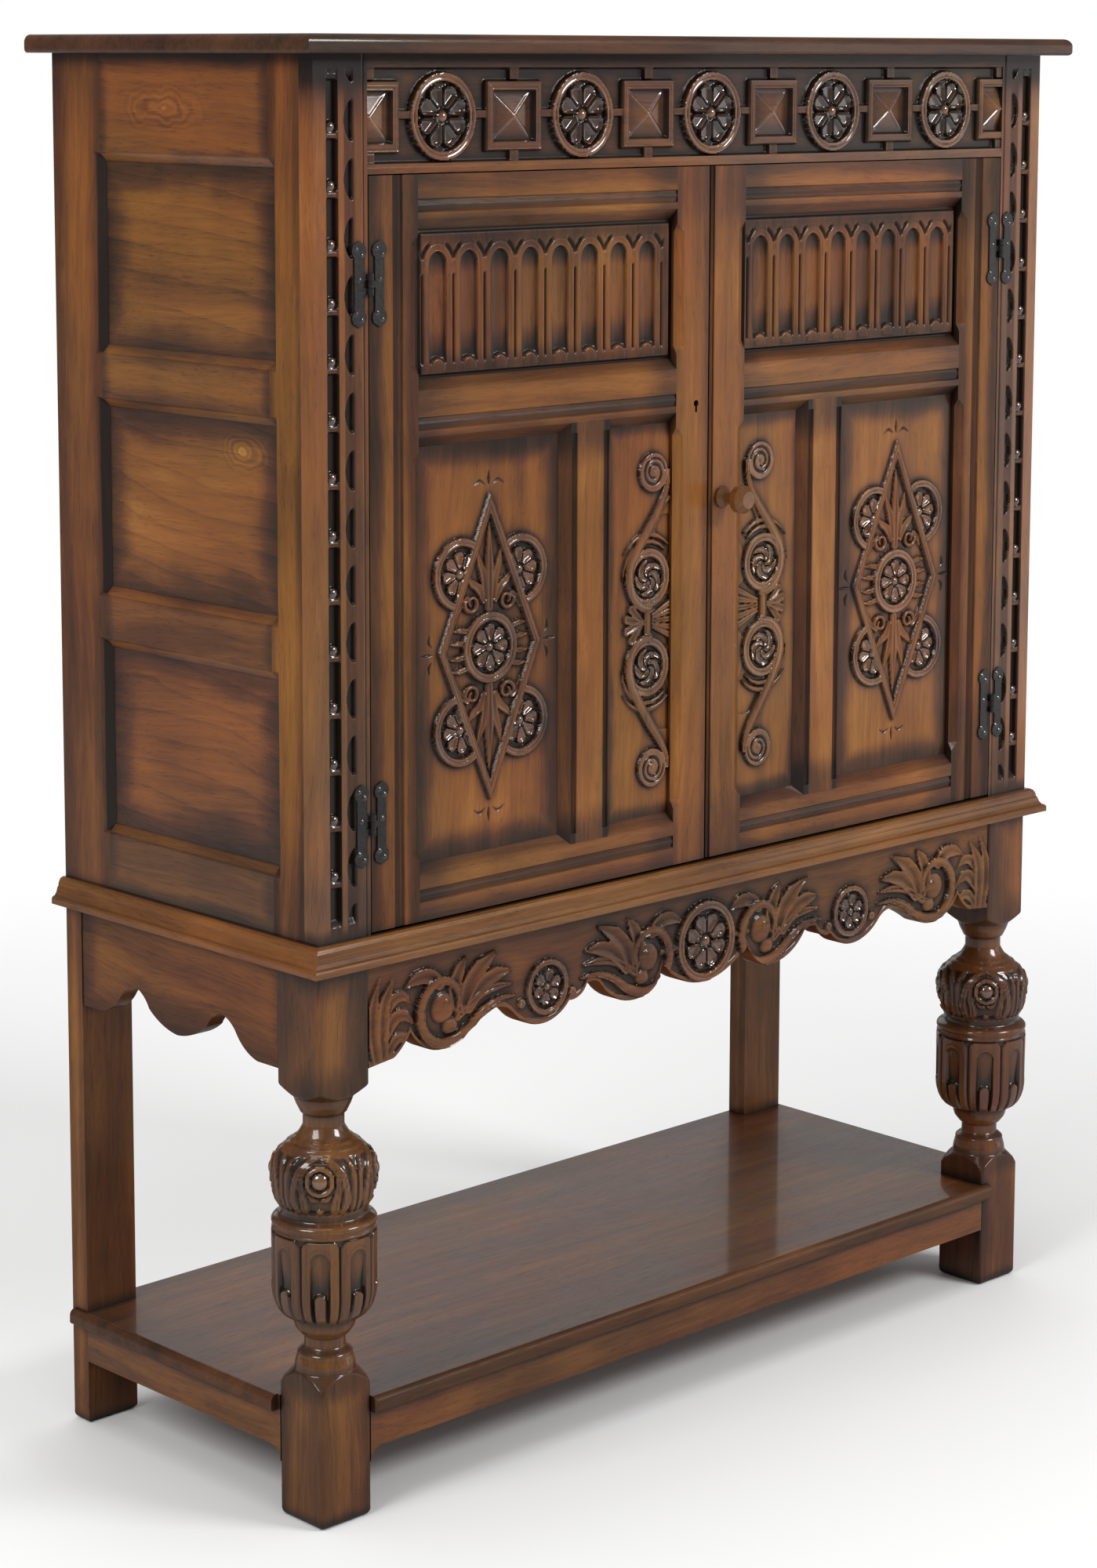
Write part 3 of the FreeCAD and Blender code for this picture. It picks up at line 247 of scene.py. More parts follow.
def makeOakGroup():
    nodes, given = newTree("oakFinish", "ShaderNodeTree",
                           {"Vector": "Vector", "Tone": "Float", "Figure": "Float", "Seed": "Float"},
                           {"Color": "Color", "Roughness": "Float", "Height": "Float"})

    def noise(vector, name, output="Fac"):
        scale, detail = grain[name]
        at = nodes.add("ShaderNodeMapping", {"Vector": vector, "Scale": scale})
        return nodes.add("ShaderNodeTexNoise", {"Vector": at.outputs[0], "Scale": 1.0, "Detail": detail,
                                                "Roughness": 0.58}).outputs[output]

    seed = nodes.add("ShaderNodeCombineXYZ", {axis: given["Seed"] for axis in "XYZ"})
    place = nodes.vector("ADD", given["Vector"], seed.outputs[0])
    push = nodes.vector("MULTIPLY", noise(place, "drift", "Color"), (0.0, 0.07, 0.07))      # slow wander of the grain
    bent = nodes.vector("ADD", place, push)
    ringsAt = nodes.add("ShaderNodeMapping", {"Vector": bent, "Scale": (0.12, 1.0, 1.0)})
    waves = nodes.add("ShaderNodeTexWave", {"Vector": ringsAt.outputs[0], **rings}, wave_type="BANDS",
                      bands_direction="DIAGONAL", wave_profile="SAW")
    edge = nodes.math("MULTIPLY", nodes.math("POWER", waves.outputs["Fac"], 5.0), weights["rings"])
    noises = {"fibre": noise(bent, "fibre"), "streak": noise(bent, "streak"), "patina": noise(place, "patina")}
    pits = nodes.ramp(noise(bent, "pores"), 0.58, 0.72)
    total = nodes.math("MULTIPLY_ADD", edge, given["Figure"], given["Tone"])
    for name, value in noises.items():
        centred = nodes.math("MULTIPLY_ADD", value, weights[name], -weights[name] / 2)
        total = nodes.math("ADD", total, centred)
    total = nodes.math("MULTIPLY_ADD", pits, weights["pits"], total)
    tones = nodes.add("ShaderNodeValToRGB", {"Fac": total})
    while len(tones.color_ramp.elements) < len(oakTones):
        tones.color_ramp.elements.new(0.5)
    for stop, (at, tone) in zip(tones.color_ramp.elements, oakTones.items()):
        stop.position, stop.color = at, tone
    share = nodes.ramp(noise(place, "hue"), 0.36, 0.64)
    cast = nodes.add("ShaderNodeMix", {"Factor": share, "A": oakCasts[0], "B": oakCasts[1]}, data_type="RGBA")
    worn = nodes.math("MULTIPLY_ADD", noises["patina"], 0.22, 0.27)
    nodes.add("NodeGroupOutput", {"Color": nodes.vector("MULTIPLY", tones.outputs["Color"], cast.outputs[2]),
                                  "Roughness": nodes.math("MULTIPLY_ADD", pits, 0.14, worn),
                                  "Height": nodes.math("MULTIPLY_ADD", pits, -0.9, noises["fibre"])})
    return nodes.tree


def makeShadeGroup():      # 0 at the edge of a box and 1 well inside it, from its middle and half size
    nodes, given = newTree("edgeShade", "ShaderNodeTree",
                           {"Vector": "Vector", "Middle": "Vector", "Half": "Vector", "Width": "Float"},
                           {"Inside": "Float"})
    away = nodes.vector("ABSOLUTE", nodes.vector("SUBTRACT", given["Vector"], given["Middle"]))
    left = nodes.add("ShaderNodeSeparateXYZ", {0: nodes.vector("SUBTRACT", given["Half"], away)}).outputs
    least = nodes.math("MINIMUM", nodes.math("MINIMUM", left["X"], left["Z"]), left["Y"])
    cloud = nodes.add("ShaderNodeTexNoise", {"Vector": given["Vector"], "Scale": 9.0, "Detail": 3.0})
    loose = nodes.math("SUBTRACT", cloud.outputs["Fac"], 0.50)
    spread = nodes.math("MULTIPLY_ADD", loose, given["Width"], least)
    nodes.add("NodeGroupOutput", {"Inside": nodes.ramp(spread, 0.0, given["Width"], easing="SMOOTHERSTEP")})
    return nodes.tree


oakGroup = makeOakGroup()
shadeGroup = makeShadeGroup()
grainTurns = {"x": (0, 0, 0), "y": (0, 0, math.radians(90)), "z": (0, math.radians(90), 0)}
knot = {"wander": 0.55, "scale": 34.0, "rings": 34.0, "fade": (1.25, 0.55), "dark": -0.09, "heart": (0.55, 0.30),
        "light": 0.22}
coating = {"ior": 1.5, "specular": 0.24, "rough": 0.09, "rubbed": 0.45, "polish": 0.6, "polishIor": 0.8,
           "corner": 0.014, "bump": 0.22, "bumpDepth": 0.0006}


def makeOak(name, grainAlong, tone, figure, seed, shades, sheen, carved=False, creviceShade=0.50, rough=0.04,
            darken=0.60, wear=0.16, knots=()):
    finish, nodes = newMaterial(name)
    place = nodes.add("ShaderNodeTexCoord").outputs["Object"]
    turned = nodes.add("ShaderNodeMapping", {"Vector": place, "Rotation": grainTurns[grainAlong]})
    level, coat, coatIor = tone, sheen, coating["ior"]
    for low, high, width, gain in shades:
        shade = nodes.add("ShaderNodeGroup", {"Vector": place, "Middle": [(a + b) / 2 for a, b in zip(low, high)],
                                              "Half": [(b - a) / 2 for a, b in zip(low, high)], "Width": width},
                          node_tree=shadeGroup)
        level = nodes.math("MULTIPLY_ADD", shade.outputs[0], gain, level)
    for middle, reach in knots:
        away = nodes.vector("LENGTH", nodes.vector("DIVIDE", nodes.vector("SUBTRACT", place, middle), reach))
        wander = nodes.add("ShaderNodeTexNoise", {"Vector": place, "Scale": knot["scale"], "Detail": 2.0})
        bent = nodes.math("MULTIPLY_ADD", wander.outputs["Fac"], knot["wander"], away)
        turns = nodes.math("SINE", nodes.math("MULTIPLY", bent, knot["rings"]))
        fade = nodes.ramp(bent, *knot["fade"], high=knot["dark"], easing="SMOOTHSTEP")
        heart = nodes.ramp(bent, *knot["heart"], high=knot["light"], easing="SMOOTHSTEP")
        level = nodes.math("ADD", heart, nodes.math("MULTIPLY_ADD", turns, fade, level))
    # Painted shade: an ambient occlusion node darkens the colour in corners, creases and between parts.
    shadow = nodes.add("ShaderNodeAmbientOcclusion", {"Distance": coating["corner"]}, samples=6)
    level = nodes.math("ADD", nodes.ramp(shadow.outputs["AO"], 0.25, 0.95, -creviceShade, 0.0), level)
    if carved:
        recess, worn, gloss = (nodes.add("ShaderNodeAttribute", attribute_name=label).outputs["Fac"]
                               for label in ("recess", "worn", "gloss"))
        # recess darkens the hollows with dark finish and painted shade; worn lightens rubbed wood, and where it is set
        # below 0 it carries painted shadow
        level = nodes.math("MULTIPLY_ADD", recess, -darken, level)
        level = nodes.math("MULTIPLY_ADD", worn, wear, level)
        coat = nodes.ramp(worn, low=sheen * coating["rubbed"], high=sheen)
        coat = nodes.math("MULTIPLY_ADD", gloss, coating["polish"], coat, use_clamp=True)
        coatIor = nodes.math("MULTIPLY_ADD", gloss, coating["polishIor"], coating["ior"])
    wood = nodes.add("ShaderNodeGroup", {"Vector": turned.outputs[0], "Seed": seed, "Figure": figure, "Tone": level},
                     node_tree=oakGroup).outputs
    bump = nodes.add("ShaderNodeBump", {"Height": wood["Height"], "Strength": coating["bump"],
                                        "Distance": coating["bumpDepth"]})
    shader = nodes.add("ShaderNodeBsdfPrincipled", {
        "Base Color": wood["Color"], "Roughness": nodes.math("ADD", wood["Roughness"], rough),
        "Normal": bump.outputs[0], "IOR": coating["ior"], "Specular IOR Level": coating["specular"],
        "Coat Weight": coat, "Coat Roughness": coating["rough"], "Coat IOR": coatIor})
    nodes.add("ShaderNodeOutputMaterial", {"Surface": shader.outputs[0]})
    return finish


def makeIron(name, tone, rough, sheen):
    finish, nodes = newMaterial(name)
    place = nodes.add("ShaderNodeTexCoord").outputs["Object"]
    grit = nodes.add("ShaderNodeTexNoise", {"Vector": place, "Scale": 420.0, "Detail": 3.0}).outputs["Fac"]
    tones = nodes.add("ShaderNodeValToRGB", {"Fac": grit})
    for stop, (at, share) in zip(tones.color_ramp.elements, ((0.35, 0.55), (0.70, 1.35))):
        stop.position, stop.color = at, (*[part * share for part in tone], 1)
    bump = nodes.add("ShaderNodeBump", {"Height": grit, "Strength": 0.35, "Distance": 0.0006})
    shader = nodes.add("ShaderNodeBsdfPrincipled", {
        "Base Color": tones.outputs["Color"], "Metallic": 0.35, "Normal": bump.outputs[0],
        "Roughness": nodes.ramp(grit, low=rough - 0.1, high=rough + 0.12), "Coat Weight": sheen,
        "Coat Roughness": 0.16})
    nodes.add("ShaderNodeOutputMaterial", {"Surface": shader.outputs[0]})
    return finish


# Shades: a box (low corner, high corner), the width of its edge and the gain in tone inside it, in metres

wide = 9.0      # for an axis that a shade leaves alone


def shadeBox(width, gain, x=(-wide, wide), y=(-wide, wide), z=(-wide, wide)):
    return *zip(x, y, z), width, gain


def nodeShade(node, axes, inset, width, gain):
    spans = {axis: (low + inset, high - inset) for axis, low, high in zip("xyz", *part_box(node)) if axis in axes}
    return shadeBox(width, gain, **spans)


# Boards, by a part of their name: tone at the edges, figure, shades as (axes, inset, width, gain), sheen
boards = {
    "top_board": (0.30, 0.5, [("xy", 0.0, 0.030, 0.14)], 0.6),
    "side_front_stile": (0.34, 0.3, [("y", 0.0, 0.014, 0.20), ("z", 0.02, 0.12, 0.10)], 0.25),
    "side_rear_stile": (0.34, 0.5, [("y", 0.0, 0.030, 0.18), ("z", 0.0, 0.10, 0.06)], 0.5),
    "top_rail": (0.20, 0.4, [("x", 0.018, 0.070, 0.24), ("z", 0.004, 0.016, 0.22)], 0.35),
    "middle_rail": (0.20, 0.4, [("x", 0.018, 0.070, 0.24), ("z", 0.004, 0.018, 0.22)], 0.35),
    "right_door_bottom_rail": (0.27, 0.4, [("x", 0.018, 0.060, 0.22), ("z", 0.002, 0.016, 0.20)], 0.35),
    "bottom_rail": (0.23, 0.4, [("x", 0.018, 0.060, 0.22), ("z", 0.002, 0.016, 0.20)], 0.35),
    "hinge_stile": (0.18, 0.4, [("x", 0.004, 0.020, 0.30), ("z", 0.02, 0.14, 0.12)], 0.12),
    "meeting_stile": (0.36, 0.4, [("x", 0.0, 0.012, 0.16), ("z", 0.01, 0.10, 0.14)], 0.3),
    "muntin": (0.08, 0.3, [("x", 0.010, 0.014, 0.34)], 0.3),
    "waist_moulding_left": (0.67, 0.3, [], 0.7),
    "waist_moulding": (0.60, 0.3, [], 0.7),
    "side_apron": (0.30, 0.5, [("yz", 0.0, 0.040, 0.26)], 0.3),
    "rear_leg": (0.47, 0.4, [("yz", 0.0, 0.020, 0.24)], 0.3),
    "lower_rail_front": (0.39, 0.4, [("z", 0.0, 0.012, 0.10)], 0.55),
    "lower_rail": (0.48, 0.4, [("z", 0.0, 0.012, 0.10)], 0.55),
    "pot_board": (0.36, 0.5, [("xy", 0.0, 0.090, 0.14)], 0.35),
    "door_knob": (0.54, 0.2, [], 1.0),
}
ironWords = ("hinge_leaves", "hinge_frame", "hinge_pins", "lock_", "surface_bolt")
channel = {"top_rail": (1.2553, 1.2683), "middle_rail": (1.0503, 1.0633), "bottom_rail": (0.5955, 0.6085),
           "leftStile": 0.029, "rightStile": 0.042, "across": 0.013, "muntin": 0.022, "half": 0.004, "edge": 0.003,
           "gain": -0.30}
# Painted highlight on the stopped bevels of the door stiles:
rubbed = {"low": 0.006, "high": 0.011, "edge": 0.006, "rightIn": 0.009, "rightGain": 0.08, "gain": 0.14,
          "spans": ((0.640, 1.026), (1.106, 1.232))}


def jointShades(node):      # dark channels, and painted highlight on the stopped bevels, lighter orange where they face the light
    low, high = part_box(node)
    if "rear_stile" in node:      # painted shadow on the reveal along the back boards
        side = math.copysign(1, low.x)
        return [shadeBox(0.002, -0.42, x=sorted((side * 0.5238, -side * wide)))]
    edge, gain = channel["edge"], channel["gain"]
    shades = [shadeBox(edge, gain, z=channel[key]) for key in ("top_rail", "middle_rail", "bottom_rail") if key in node]
    if "muntin" in node:
        middle, half = (low.x + high.x) / 2, channel["half"]
        shades = [shadeBox(edge, gain, x=(middle + a - half, middle + a + half))
                  for a in (-channel["muntin"], channel["muntin"])] + [shadeBox(0.045, 0.34, z=(0.630, 1.034))]
    if "meeting" in node or "right_door_hinge" in node:
        right = "right_door_meeting" in node
        at, glow = (high.x - rubbed["rightIn"], rubbed["rightGain"]) if right else (low.x, rubbed["gain"])
        shades = [shadeBox(rubbed["edge"], glow, x=(at - rubbed["low"], at + rubbed["high"]), z=span)
                  for span in rubbed["spans"]]
    if "hinge_stile" in node:
        at = low.x + channel["leftStile"] if low.x < 0 else high.x - channel["rightStile"]
        shades.append(shadeBox(edge, gain, x=(at, at + channel["across"])))
    return shades


sides = {"openings": ((0.6410, 0.8185), (0.8805, 1.0580), (1.1200, 1.2975)),
         "rails": ((0.5750, 0.6410), (0.8185, 0.8805), (1.0580, 1.1200), (1.2975, 1.4020)),
         "panelGains": (0.38, 0.42, 0.40), "railGains": (0.24, 0.30, 0.36, 0.34), "inset": 0.004, "bevel": 0.0095,
         "panelKnot": ((-0.518, -0.070, 1.030), (0.05, 0.050, 0.028)),
         "railKnot": ((-0.525, 0.036, 1.350), (0.05, 0.085, 0.032))}


def sideShades(spans, width, gains):
    inset = sides["inset"]
    return [shadeBox(width, gain, y=(-0.120 - inset, 0.137 + inset), z=(low - inset, high + inset))
            for (low, high), gain in zip(spans, gains)]


def paintedBevelHighlights():      # painted highlight: the bevels above and below each panel are painted paler than the rails
    bevel = sides["bevel"]
    spans = [((high, high + bevel), 0.26) for low, high in sides["openings"]]
    spans += [((low - bevel, low), 0.20) for low, high in sides["openings"]]
    return [shadeBox(0.002, gain, y=(-0.125, 0.142), z=span) for span, gain in spans]


def dress(node, finish):
    made = frame["nodes"][node]
    made.data.materials.clear()
    made.data.materials.append(finish)
    for face in made.data.polygons:
        face.material_index = 0


def oakFor(node, seed):
    low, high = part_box(node)
    longest = "xyz"[max(range(3), key=lambda axis: (high - low)[axis])]
    if node.startswith("side_panels"):
        shades = sideShades(sides["openings"], 0.050, sides["panelGains"])
        return makeOak(node, "y", 0.26, 1.1, seed + 0.61, shades, 0.7, creviceShade=0.25, knots=[sides["panelKnot"]])
    if node.startswith("side_rails"):
        shades = sideShades(sides["rails"], 0.026, sides["railGains"]) + paintedBevelHighlights()
        return makeOak(node, "y", 0.28, 0.5, seed, shades, 0.7, creviceShade=0.3, knots=[sides["railKnot"]])
    for key, (tone, figure, rules, sheen) in boards.items():
        if key in node:
            shades = [nodeShade(node, *rule) for rule in rules]
            if "door" in node or "rear_stile" in node:
                shades += jointShades(node)
            return makeOak(node, longest, tone, figure, seed, shades, sheen)
    return makeOak(node, "z" if "back" in node else longest, 0.50, 0.8, seed, [], 0.0, rough=0.3)


iron = makeIron("darkIron", (0.022, 0.019, 0.018), 0.42, 0.25)
for number, node in enumerate(sorted(frame["nodes"])):
    dress(node, iron if any(word in node for word in ironWords) else oakFor(node, 3.7 + number * 1.93))

shoulder = {"bevel": 0.0105, "depth": 0.009, "near": 0.0001}


def fitShoulders(node):      # the muntin runs on over the bevels of the rails above and below it
    own = frame["nodes"][node]
    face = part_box(node)[0].y
    front = [v.co for v in own.data.vertices if v.co.y < face + shoulder["near"]]
    left, right = min(p.x for p in front), max(p.x for p in front)
    bevel, rear = shoulder["bevel"], face + shoulder["depth"]
    points, faces = [], []
    for end, way in ((min(p.z for p in front), -1), (max(p.z for p in front), 1)):
        start, tip = len(points), end + way * bevel
        points += [(left - bevel, rear, end), (left, face, end), (right, face, end), (right + bevel, rear, end),
                   (left, face, tip), (right, face, tip)]
        faces += [[start + i for i in loop[::way]]
                  for loop in ((1, 2, 5, 4), (0, 1, 4), (2, 3, 5), (0, 4, 5, 3), (0, 3, 2, 1))]
    made = addMesh(node + "_shoulders", points, faces, finish=own.data.materials[0])
    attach(made, own["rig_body"])


fitShoulders("left_door_muntin")
fitShoulders("right_door_muntin")
print("oak and iron on the plain pieces")

# Carving: a height in millimetres over a grid, up from the ground that the carver cut down to.
# Across runs from the left corner of the case, and up from the floor.

caseLeft = -0.525
faceAt = -0.185
unchanged = -99      # lower than any carving


def smooth(value, start, end):
    share = np.clip((value - start) / (end - start), 0, 1)
    return share * share * (3 - 2 * share)


def notch(value, at, width):
    return np.exp(-((value - at) / width) ** 2)


def dome(away, radius=1.0):
    return np.sqrt(np.clip(1 - (away / radius) ** 2, 0, 1))


def fromNearest(value, at, pitch):      # how far a value is from the nearest place of a row
    return (value - at + pitch / 2) % pitch - pitch / 2


def curve(points, steps=8):      # a smooth line through the points
    p = np.array([points[0], *points, points[-1]], float)
    line = [0.5 * (2 * b + (c - a) * t + (2 * a - 5 * b + 4 * c - d) * t * t + (3 * b - a - 3 * c + d) * t ** 3)
            for a, b, c, d in zip(p[:-3], p[1:-2], p[2:-1], p[3:]) for t in np.arange(steps) / steps]
    return np.array([*line, p[-1]])


def spiral(middle, startRadius, endRadius, startTurn, turns, steps=26):
    t = np.linspace(0, 1, int(steps * abs(turns)) + 2)
    angle = 2 * np.pi * (startTurn + turns * t)
    radius = startRadius + (endRadius - startRadius) * t
    return np.stack([middle[0] + radius * np.cos(angle), middle[1] + radius * np.sin(angle)], 1)


def spacing(low, fineLow, fineHigh, high, fine, coarse=4.0):
    left = np.linspace(low, fineLow, max(2, int((fineLow - low) / coarse) + 1))[:-1] if fineLow > low else []
    right = np.linspace(fineHigh, high, max(2, int((high - fineHigh) / coarse) + 1))[1:] if high > fineHigh else []
    return np.concatenate([left, np.linspace(fineLow, fineHigh, int((fineHigh - fineLow) / fine) + 1), right])


class Carving:
    def __init__(self, across, up, mirror=None, allRows=False):
        self.across, self.up, self.mirror = across, up, mirror
        self.allRows = allRows      # for rows that follow a shaped edge
        self.u, self.v = np.meshgrid(across, up, indexing="ij")
        self.height = np.zeros(self.u.shape)
        self.calm = np.ones(self.u.shape)      # share of the hollow darkening, dark finish and painted shade, kept there
        self.gloss = np.zeros(self.u.shape)      # polished petals, beads and bosses
        self.recess = self.worn = None      # dark finish and rubbed wood, set when the shape is done

    def near(self, lowU, highU, lowV, highV):
        i, j = np.searchsorted(self.across, (lowU, highU)), np.searchsorted(self.up, (lowV, highV))
        rows = slice(None) if self.allRows else slice(max(j[0] - 1, 0), j[1] + 1)
        return slice(max(i[0] - 1, 0), i[1] + 1), rows

    def place(self, points):      # a mirrored pattern is drawn as its twin
        points = np.array(points, float)
        if self.mirror is not None:
            points[..., 0] = self.mirror - points[..., 0]
        return points

    def lift(self, part, where, shape):
        self.height[part] = np.maximum(self.height[part], np.where(where, shape, unchanged))

    def stroke(self, points, width, rise, profile="round"):
        points = self.place(points)
        at = np.linspace(0, 1, len(points))
        width, rise = (np.interp(at, np.linspace(0, 1, np.size(value)), np.atleast_1d(value))
                       for value in (width, rise))
        (lowU, lowV), (highU, highV) = points.min(0) - width.max(), points.max(0) + width.max()
        part = self.near(lowU, highU, lowV, highV)
        u, v = self.u[part], self.v[part]
        best, level, half = np.full(u.shape, 9.0), np.zeros(u.shape), np.ones(u.shape)
        for k in range(len(points) - 1):
            (au, av), (bu, bv) = points[k], points[k + 1]
            length = max((bu - au) ** 2 + (bv - av) ** 2, 1e-6)
            t = np.clip(((u - au) * (bu - au) + (v - av) * (bv - av)) / length, 0, 1)
            reach = width[k] + (width[k + 1] - width[k]) * t
            away = np.hypot(u - au - t * (bu - au), v - av - t * (bv - av)) / np.maximum(reach, 0.05)
            closer = away < best
            best = np.where(closer, away, best)
            level = np.where(closer, rise[k] + (rise[k + 1] - rise[k]) * t, level)
            half = np.where(closer, reach, half)
        edge, inside = (1 - best) * half, best < 1
        if profile == "cut":
            self.height[part] -= np.where(inside, level * (1 - best * best), 0)
            return
        if profile == "strap":
            shape = level * smooth(edge, 0, 1.0) - 0.9 * notch(edge, 2.5, 0.75)
        elif profile == "hollow":      # a leaf lobe with a raised rim
            shape = level * (smooth(edge, 0, 0.9) - 0.5 * smooth(edge, 0.9, np.maximum(half, 1.2)))
        elif profile == "vein":
            shape = level * dome(best) * (1 - 0.45 * np.exp(-(best / 0.2) ** 2))
        else:
            shape = level * dome(best)
        self.lift(part, inside, shape)

    def disc(self, middle, reach, over):      # the grid round a middle, and where it may be carved
        cu, cv = self.place(middle)
        part = self.near(cu - reach, cu + reach, cv - reach, cv + reach)
        du, dv = self.u[part] - cu, self.v[part] - cv
        return part, np.hypot(du, dv), np.arctan2(dv, du), True if over is None else over[part]

    def roundel(self, middle, radius, rise, ringWidth, dish=-0.8, groove=0.8, over=None):
        part, away, _, keep = self.disc(middle, radius, over)
        inner = radius - ringWidth
        self.height[part] = np.where((away < inner + 0.5) & keep, dish, self.height[part])
        edge = np.minimum(radius - away, away - inner)
        ring = rise * smooth(edge, 0, 1.0) - groove * notch(away, inner + ringWidth * 0.45, 0.8)
        self.lift(part, (edge > 0) & keep, ring)
        self.gloss[part] = np.where((edge > 0) & keep, 0.25, self.gloss[part])

    def rosette(self, middle, reach, rise, count, button=0.0, turn=0.0, swirl=0.0, over=None, floor=-0.8):
        part, away, angle, keep = self.disc(middle, reach, over)
        if self.mirror is not None:
            swirl = -swirl
        across = (((angle + turn + swirl * away / reach) * count / (2 * np.pi)) % 1.0 - 0.5) * 2
        half = away * math.sin(math.pi / count)
        tip = reach * (1 - (1 - dome(across)) * math.sin(math.pi / count))
        edge = np.minimum((1 - abs(across)) * half, tip - away)
        petal = floor + rise * smooth(edge, 0.05, 1.1) * (1 - 0.62 * smooth(edge, 1.0, 4.6))
        self.lift(part, (edge > 0) & keep, petal)
        self.calm[part] = np.where((edge > 0.7) & keep, 0.42, self.calm[part])
        self.gloss[part] = np.where((edge > 0) & keep, 0.75, self.gloss[part])
        if button:
            self.height[part] = np.where((away < button * 1.35) & keep, floor + 0.3, self.height[part])
            self.lift(part, (away < button) & keep, floor + rise * 1.1 * dome(away, button) + 0.6)

    def flower(self, middle, ring, petals, floor=-0.8, over=None, **more):      # a rosette in its roundel
        self.roundel(middle, *ring, dish=floor, over=over)
        self.rosette(middle, *petals, floor=floor, over=over, **more)


def soften(height, passes):
    for axis in (0, 1):
        h = np.moveaxis(height, axis, 0)
        for _ in range(passes):
            h = np.concatenate([h[:1], (h[:-2] + 2 * h[1:-1] + h[2:]) / 4, h[-1:]])
        height = np.moveaxis(h, 0, axis)
    return height


def stainShadeAndWear(height):      # where the hollows are darkened, with dark finish and painted shade, and where hands have rubbed the finish off
    close, broad = soften(height, 9), soften(height, 60)
    recess = np.clip((close - height) / 1.3, 0, 1) * 0.7 + np.clip((broad - height) / 2.2, 0, 1) * 0.65
    worn = np.clip((height - close) / 0.9, 0, 1)
    return np.clip(recess, 0, 1), worn * (height > np.median(height))


def tiled(height, axis):      # the hollow darkening, dark finish and painted shade, and the wear of one bay between two like it
    count = height.shape[axis]
    return [np.take(layer, range(count, 2 * count), axis) for layer in stainShadeAndWear(np.concatenate([height] * 3, axis))]


def shadeMesh(made, angle=50):
    made.data.polygons.foreach_set("use_smooth", np.ones(len(made.data.polygons), bool))
    made.data.set_sharp_from_angle(angle=math.radians(angle))
    made.data.update()


def surface(carving, ground):      # the carving's points in metres
    return np.stack([carving.u * mm + caseLeft, ground - carving.height * mm, carving.v * mm], -1).reshape(-1, 3)


def quadsOf(index):
    return np.stack([index[:-1, :-1], index[1:, :-1], index[1:, 1:], index[:-1, 1:]], -1).reshape(-1, 4)


def standFor(made, node):
    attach(made, frame["nodes"][node]["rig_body"])
    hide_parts(node)


def buildCarved(node, carving, ground, finish, worn=None):      # one closed panel
    recess, handled = stainShadeAndWear(carving.height)
    index = np.arange(recess.size).reshape(recess.shape)
    loop = np.concatenate([index[:, 0], index[-1, 1:], index[-2::-1, -1], index[0, -2:0:-1]])
    behind = np.arange(len(loop)) + recess.size
    front = surface(carving, ground)
    rear = front[loop]
    rear[:, 1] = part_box(node)[1].y
    sides = np.stack([loop, behind, np.roll(behind, -1), np.roll(loop, -1)], -1)
    layers = {"recess": recess * carving.calm, "worn": handled if worn is None else worn, "gloss": carving.gloss}
    made = addMesh(node + "_carved", np.concatenate([front, rear]).tolist(),
                   quadsOf(index).tolist() + sides.tolist() + [behind[::-1].tolist()], layers, finish)
    shadeMesh(made)
    standFor(made, node)


def spanOf(node):      # a piece's left, right, bottom and top in the carving's millimetres
    low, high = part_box(node)
    return (low.x - caseLeft) / mm, (high.x - caseLeft) / mm, low.z / mm, high.z / mm


# The lozenge panels

lozenge = {"ground": -0.176, "strap": 9.5, "strapRise": 3.4, "leafRise": 2.4, "fine": 0.95,
           "ring": (36.0, 3.8, 9.0), "petals": (23.5, 3.4, 8), "button": 5.0,      # radius, rise, width or count
           "middleRing": (35.5, 3.6, 10.0), "middlePetals": (24.0, 3.8, 8),
           "left": 88, "right": 92, "below": 178, "above": 182}      # reach of the fine grid
panelField = (0.6325, 1.0338)      # the lower panels' height between the rails
lozengeLeaves = (([(5, 48), (8, 70), (13, 84), (16, 96)], (3.4, 5.2, 4.0, 0.6), (2.4, 2.4, 0.8)),
                 ([(8, 45), (14, 58), (22, 64), (31, 73)], (2.6, 5.0, 4.4, 0.6), (2.4, 2.4, 0.8)),
                 ([(30, 50), (37, 44), (42, 34)], (3.8, 3.4, 0.7), (2.4, 0.8)))


def cutTips(field, cu, cv, halfWidth, halfHeight):      # gouge marks beyond the four tips
    for way in (1, -1):
        tip = cv + way * halfHeight
        field.stroke(curve([(cu, tip + way * b) for b in (5, 12, 20)]), (0.5, 2.0, 0.5), (0.8, 1.6, 0.6), "cut")
        for side in (1, -1):
            field.stroke(curve([(cu + side * a, tip + way * b) for a, b in ((5, 6), (12, 10), (20, 6))]),
                         (0.4, 2.0, 0.5), (0.6, 1.5, 0.6), "cut")
        tip = cu + way * halfWidth
        field.stroke(curve([(tip + way * a, cv) for a in (5, 13, 22)]), (0.5, 1.9, 0.4), (0.8, 1.6, 0.5), "cut")
        for side in (1, -1):
            field.stroke(curve([(tip + way * a, cv + side * b) for a, b in ((6, 7), (10, 12), (9, 20))]),
                         (0.4, 2.0, 0.4), (0.6, 1.5, 0.5), "cut")


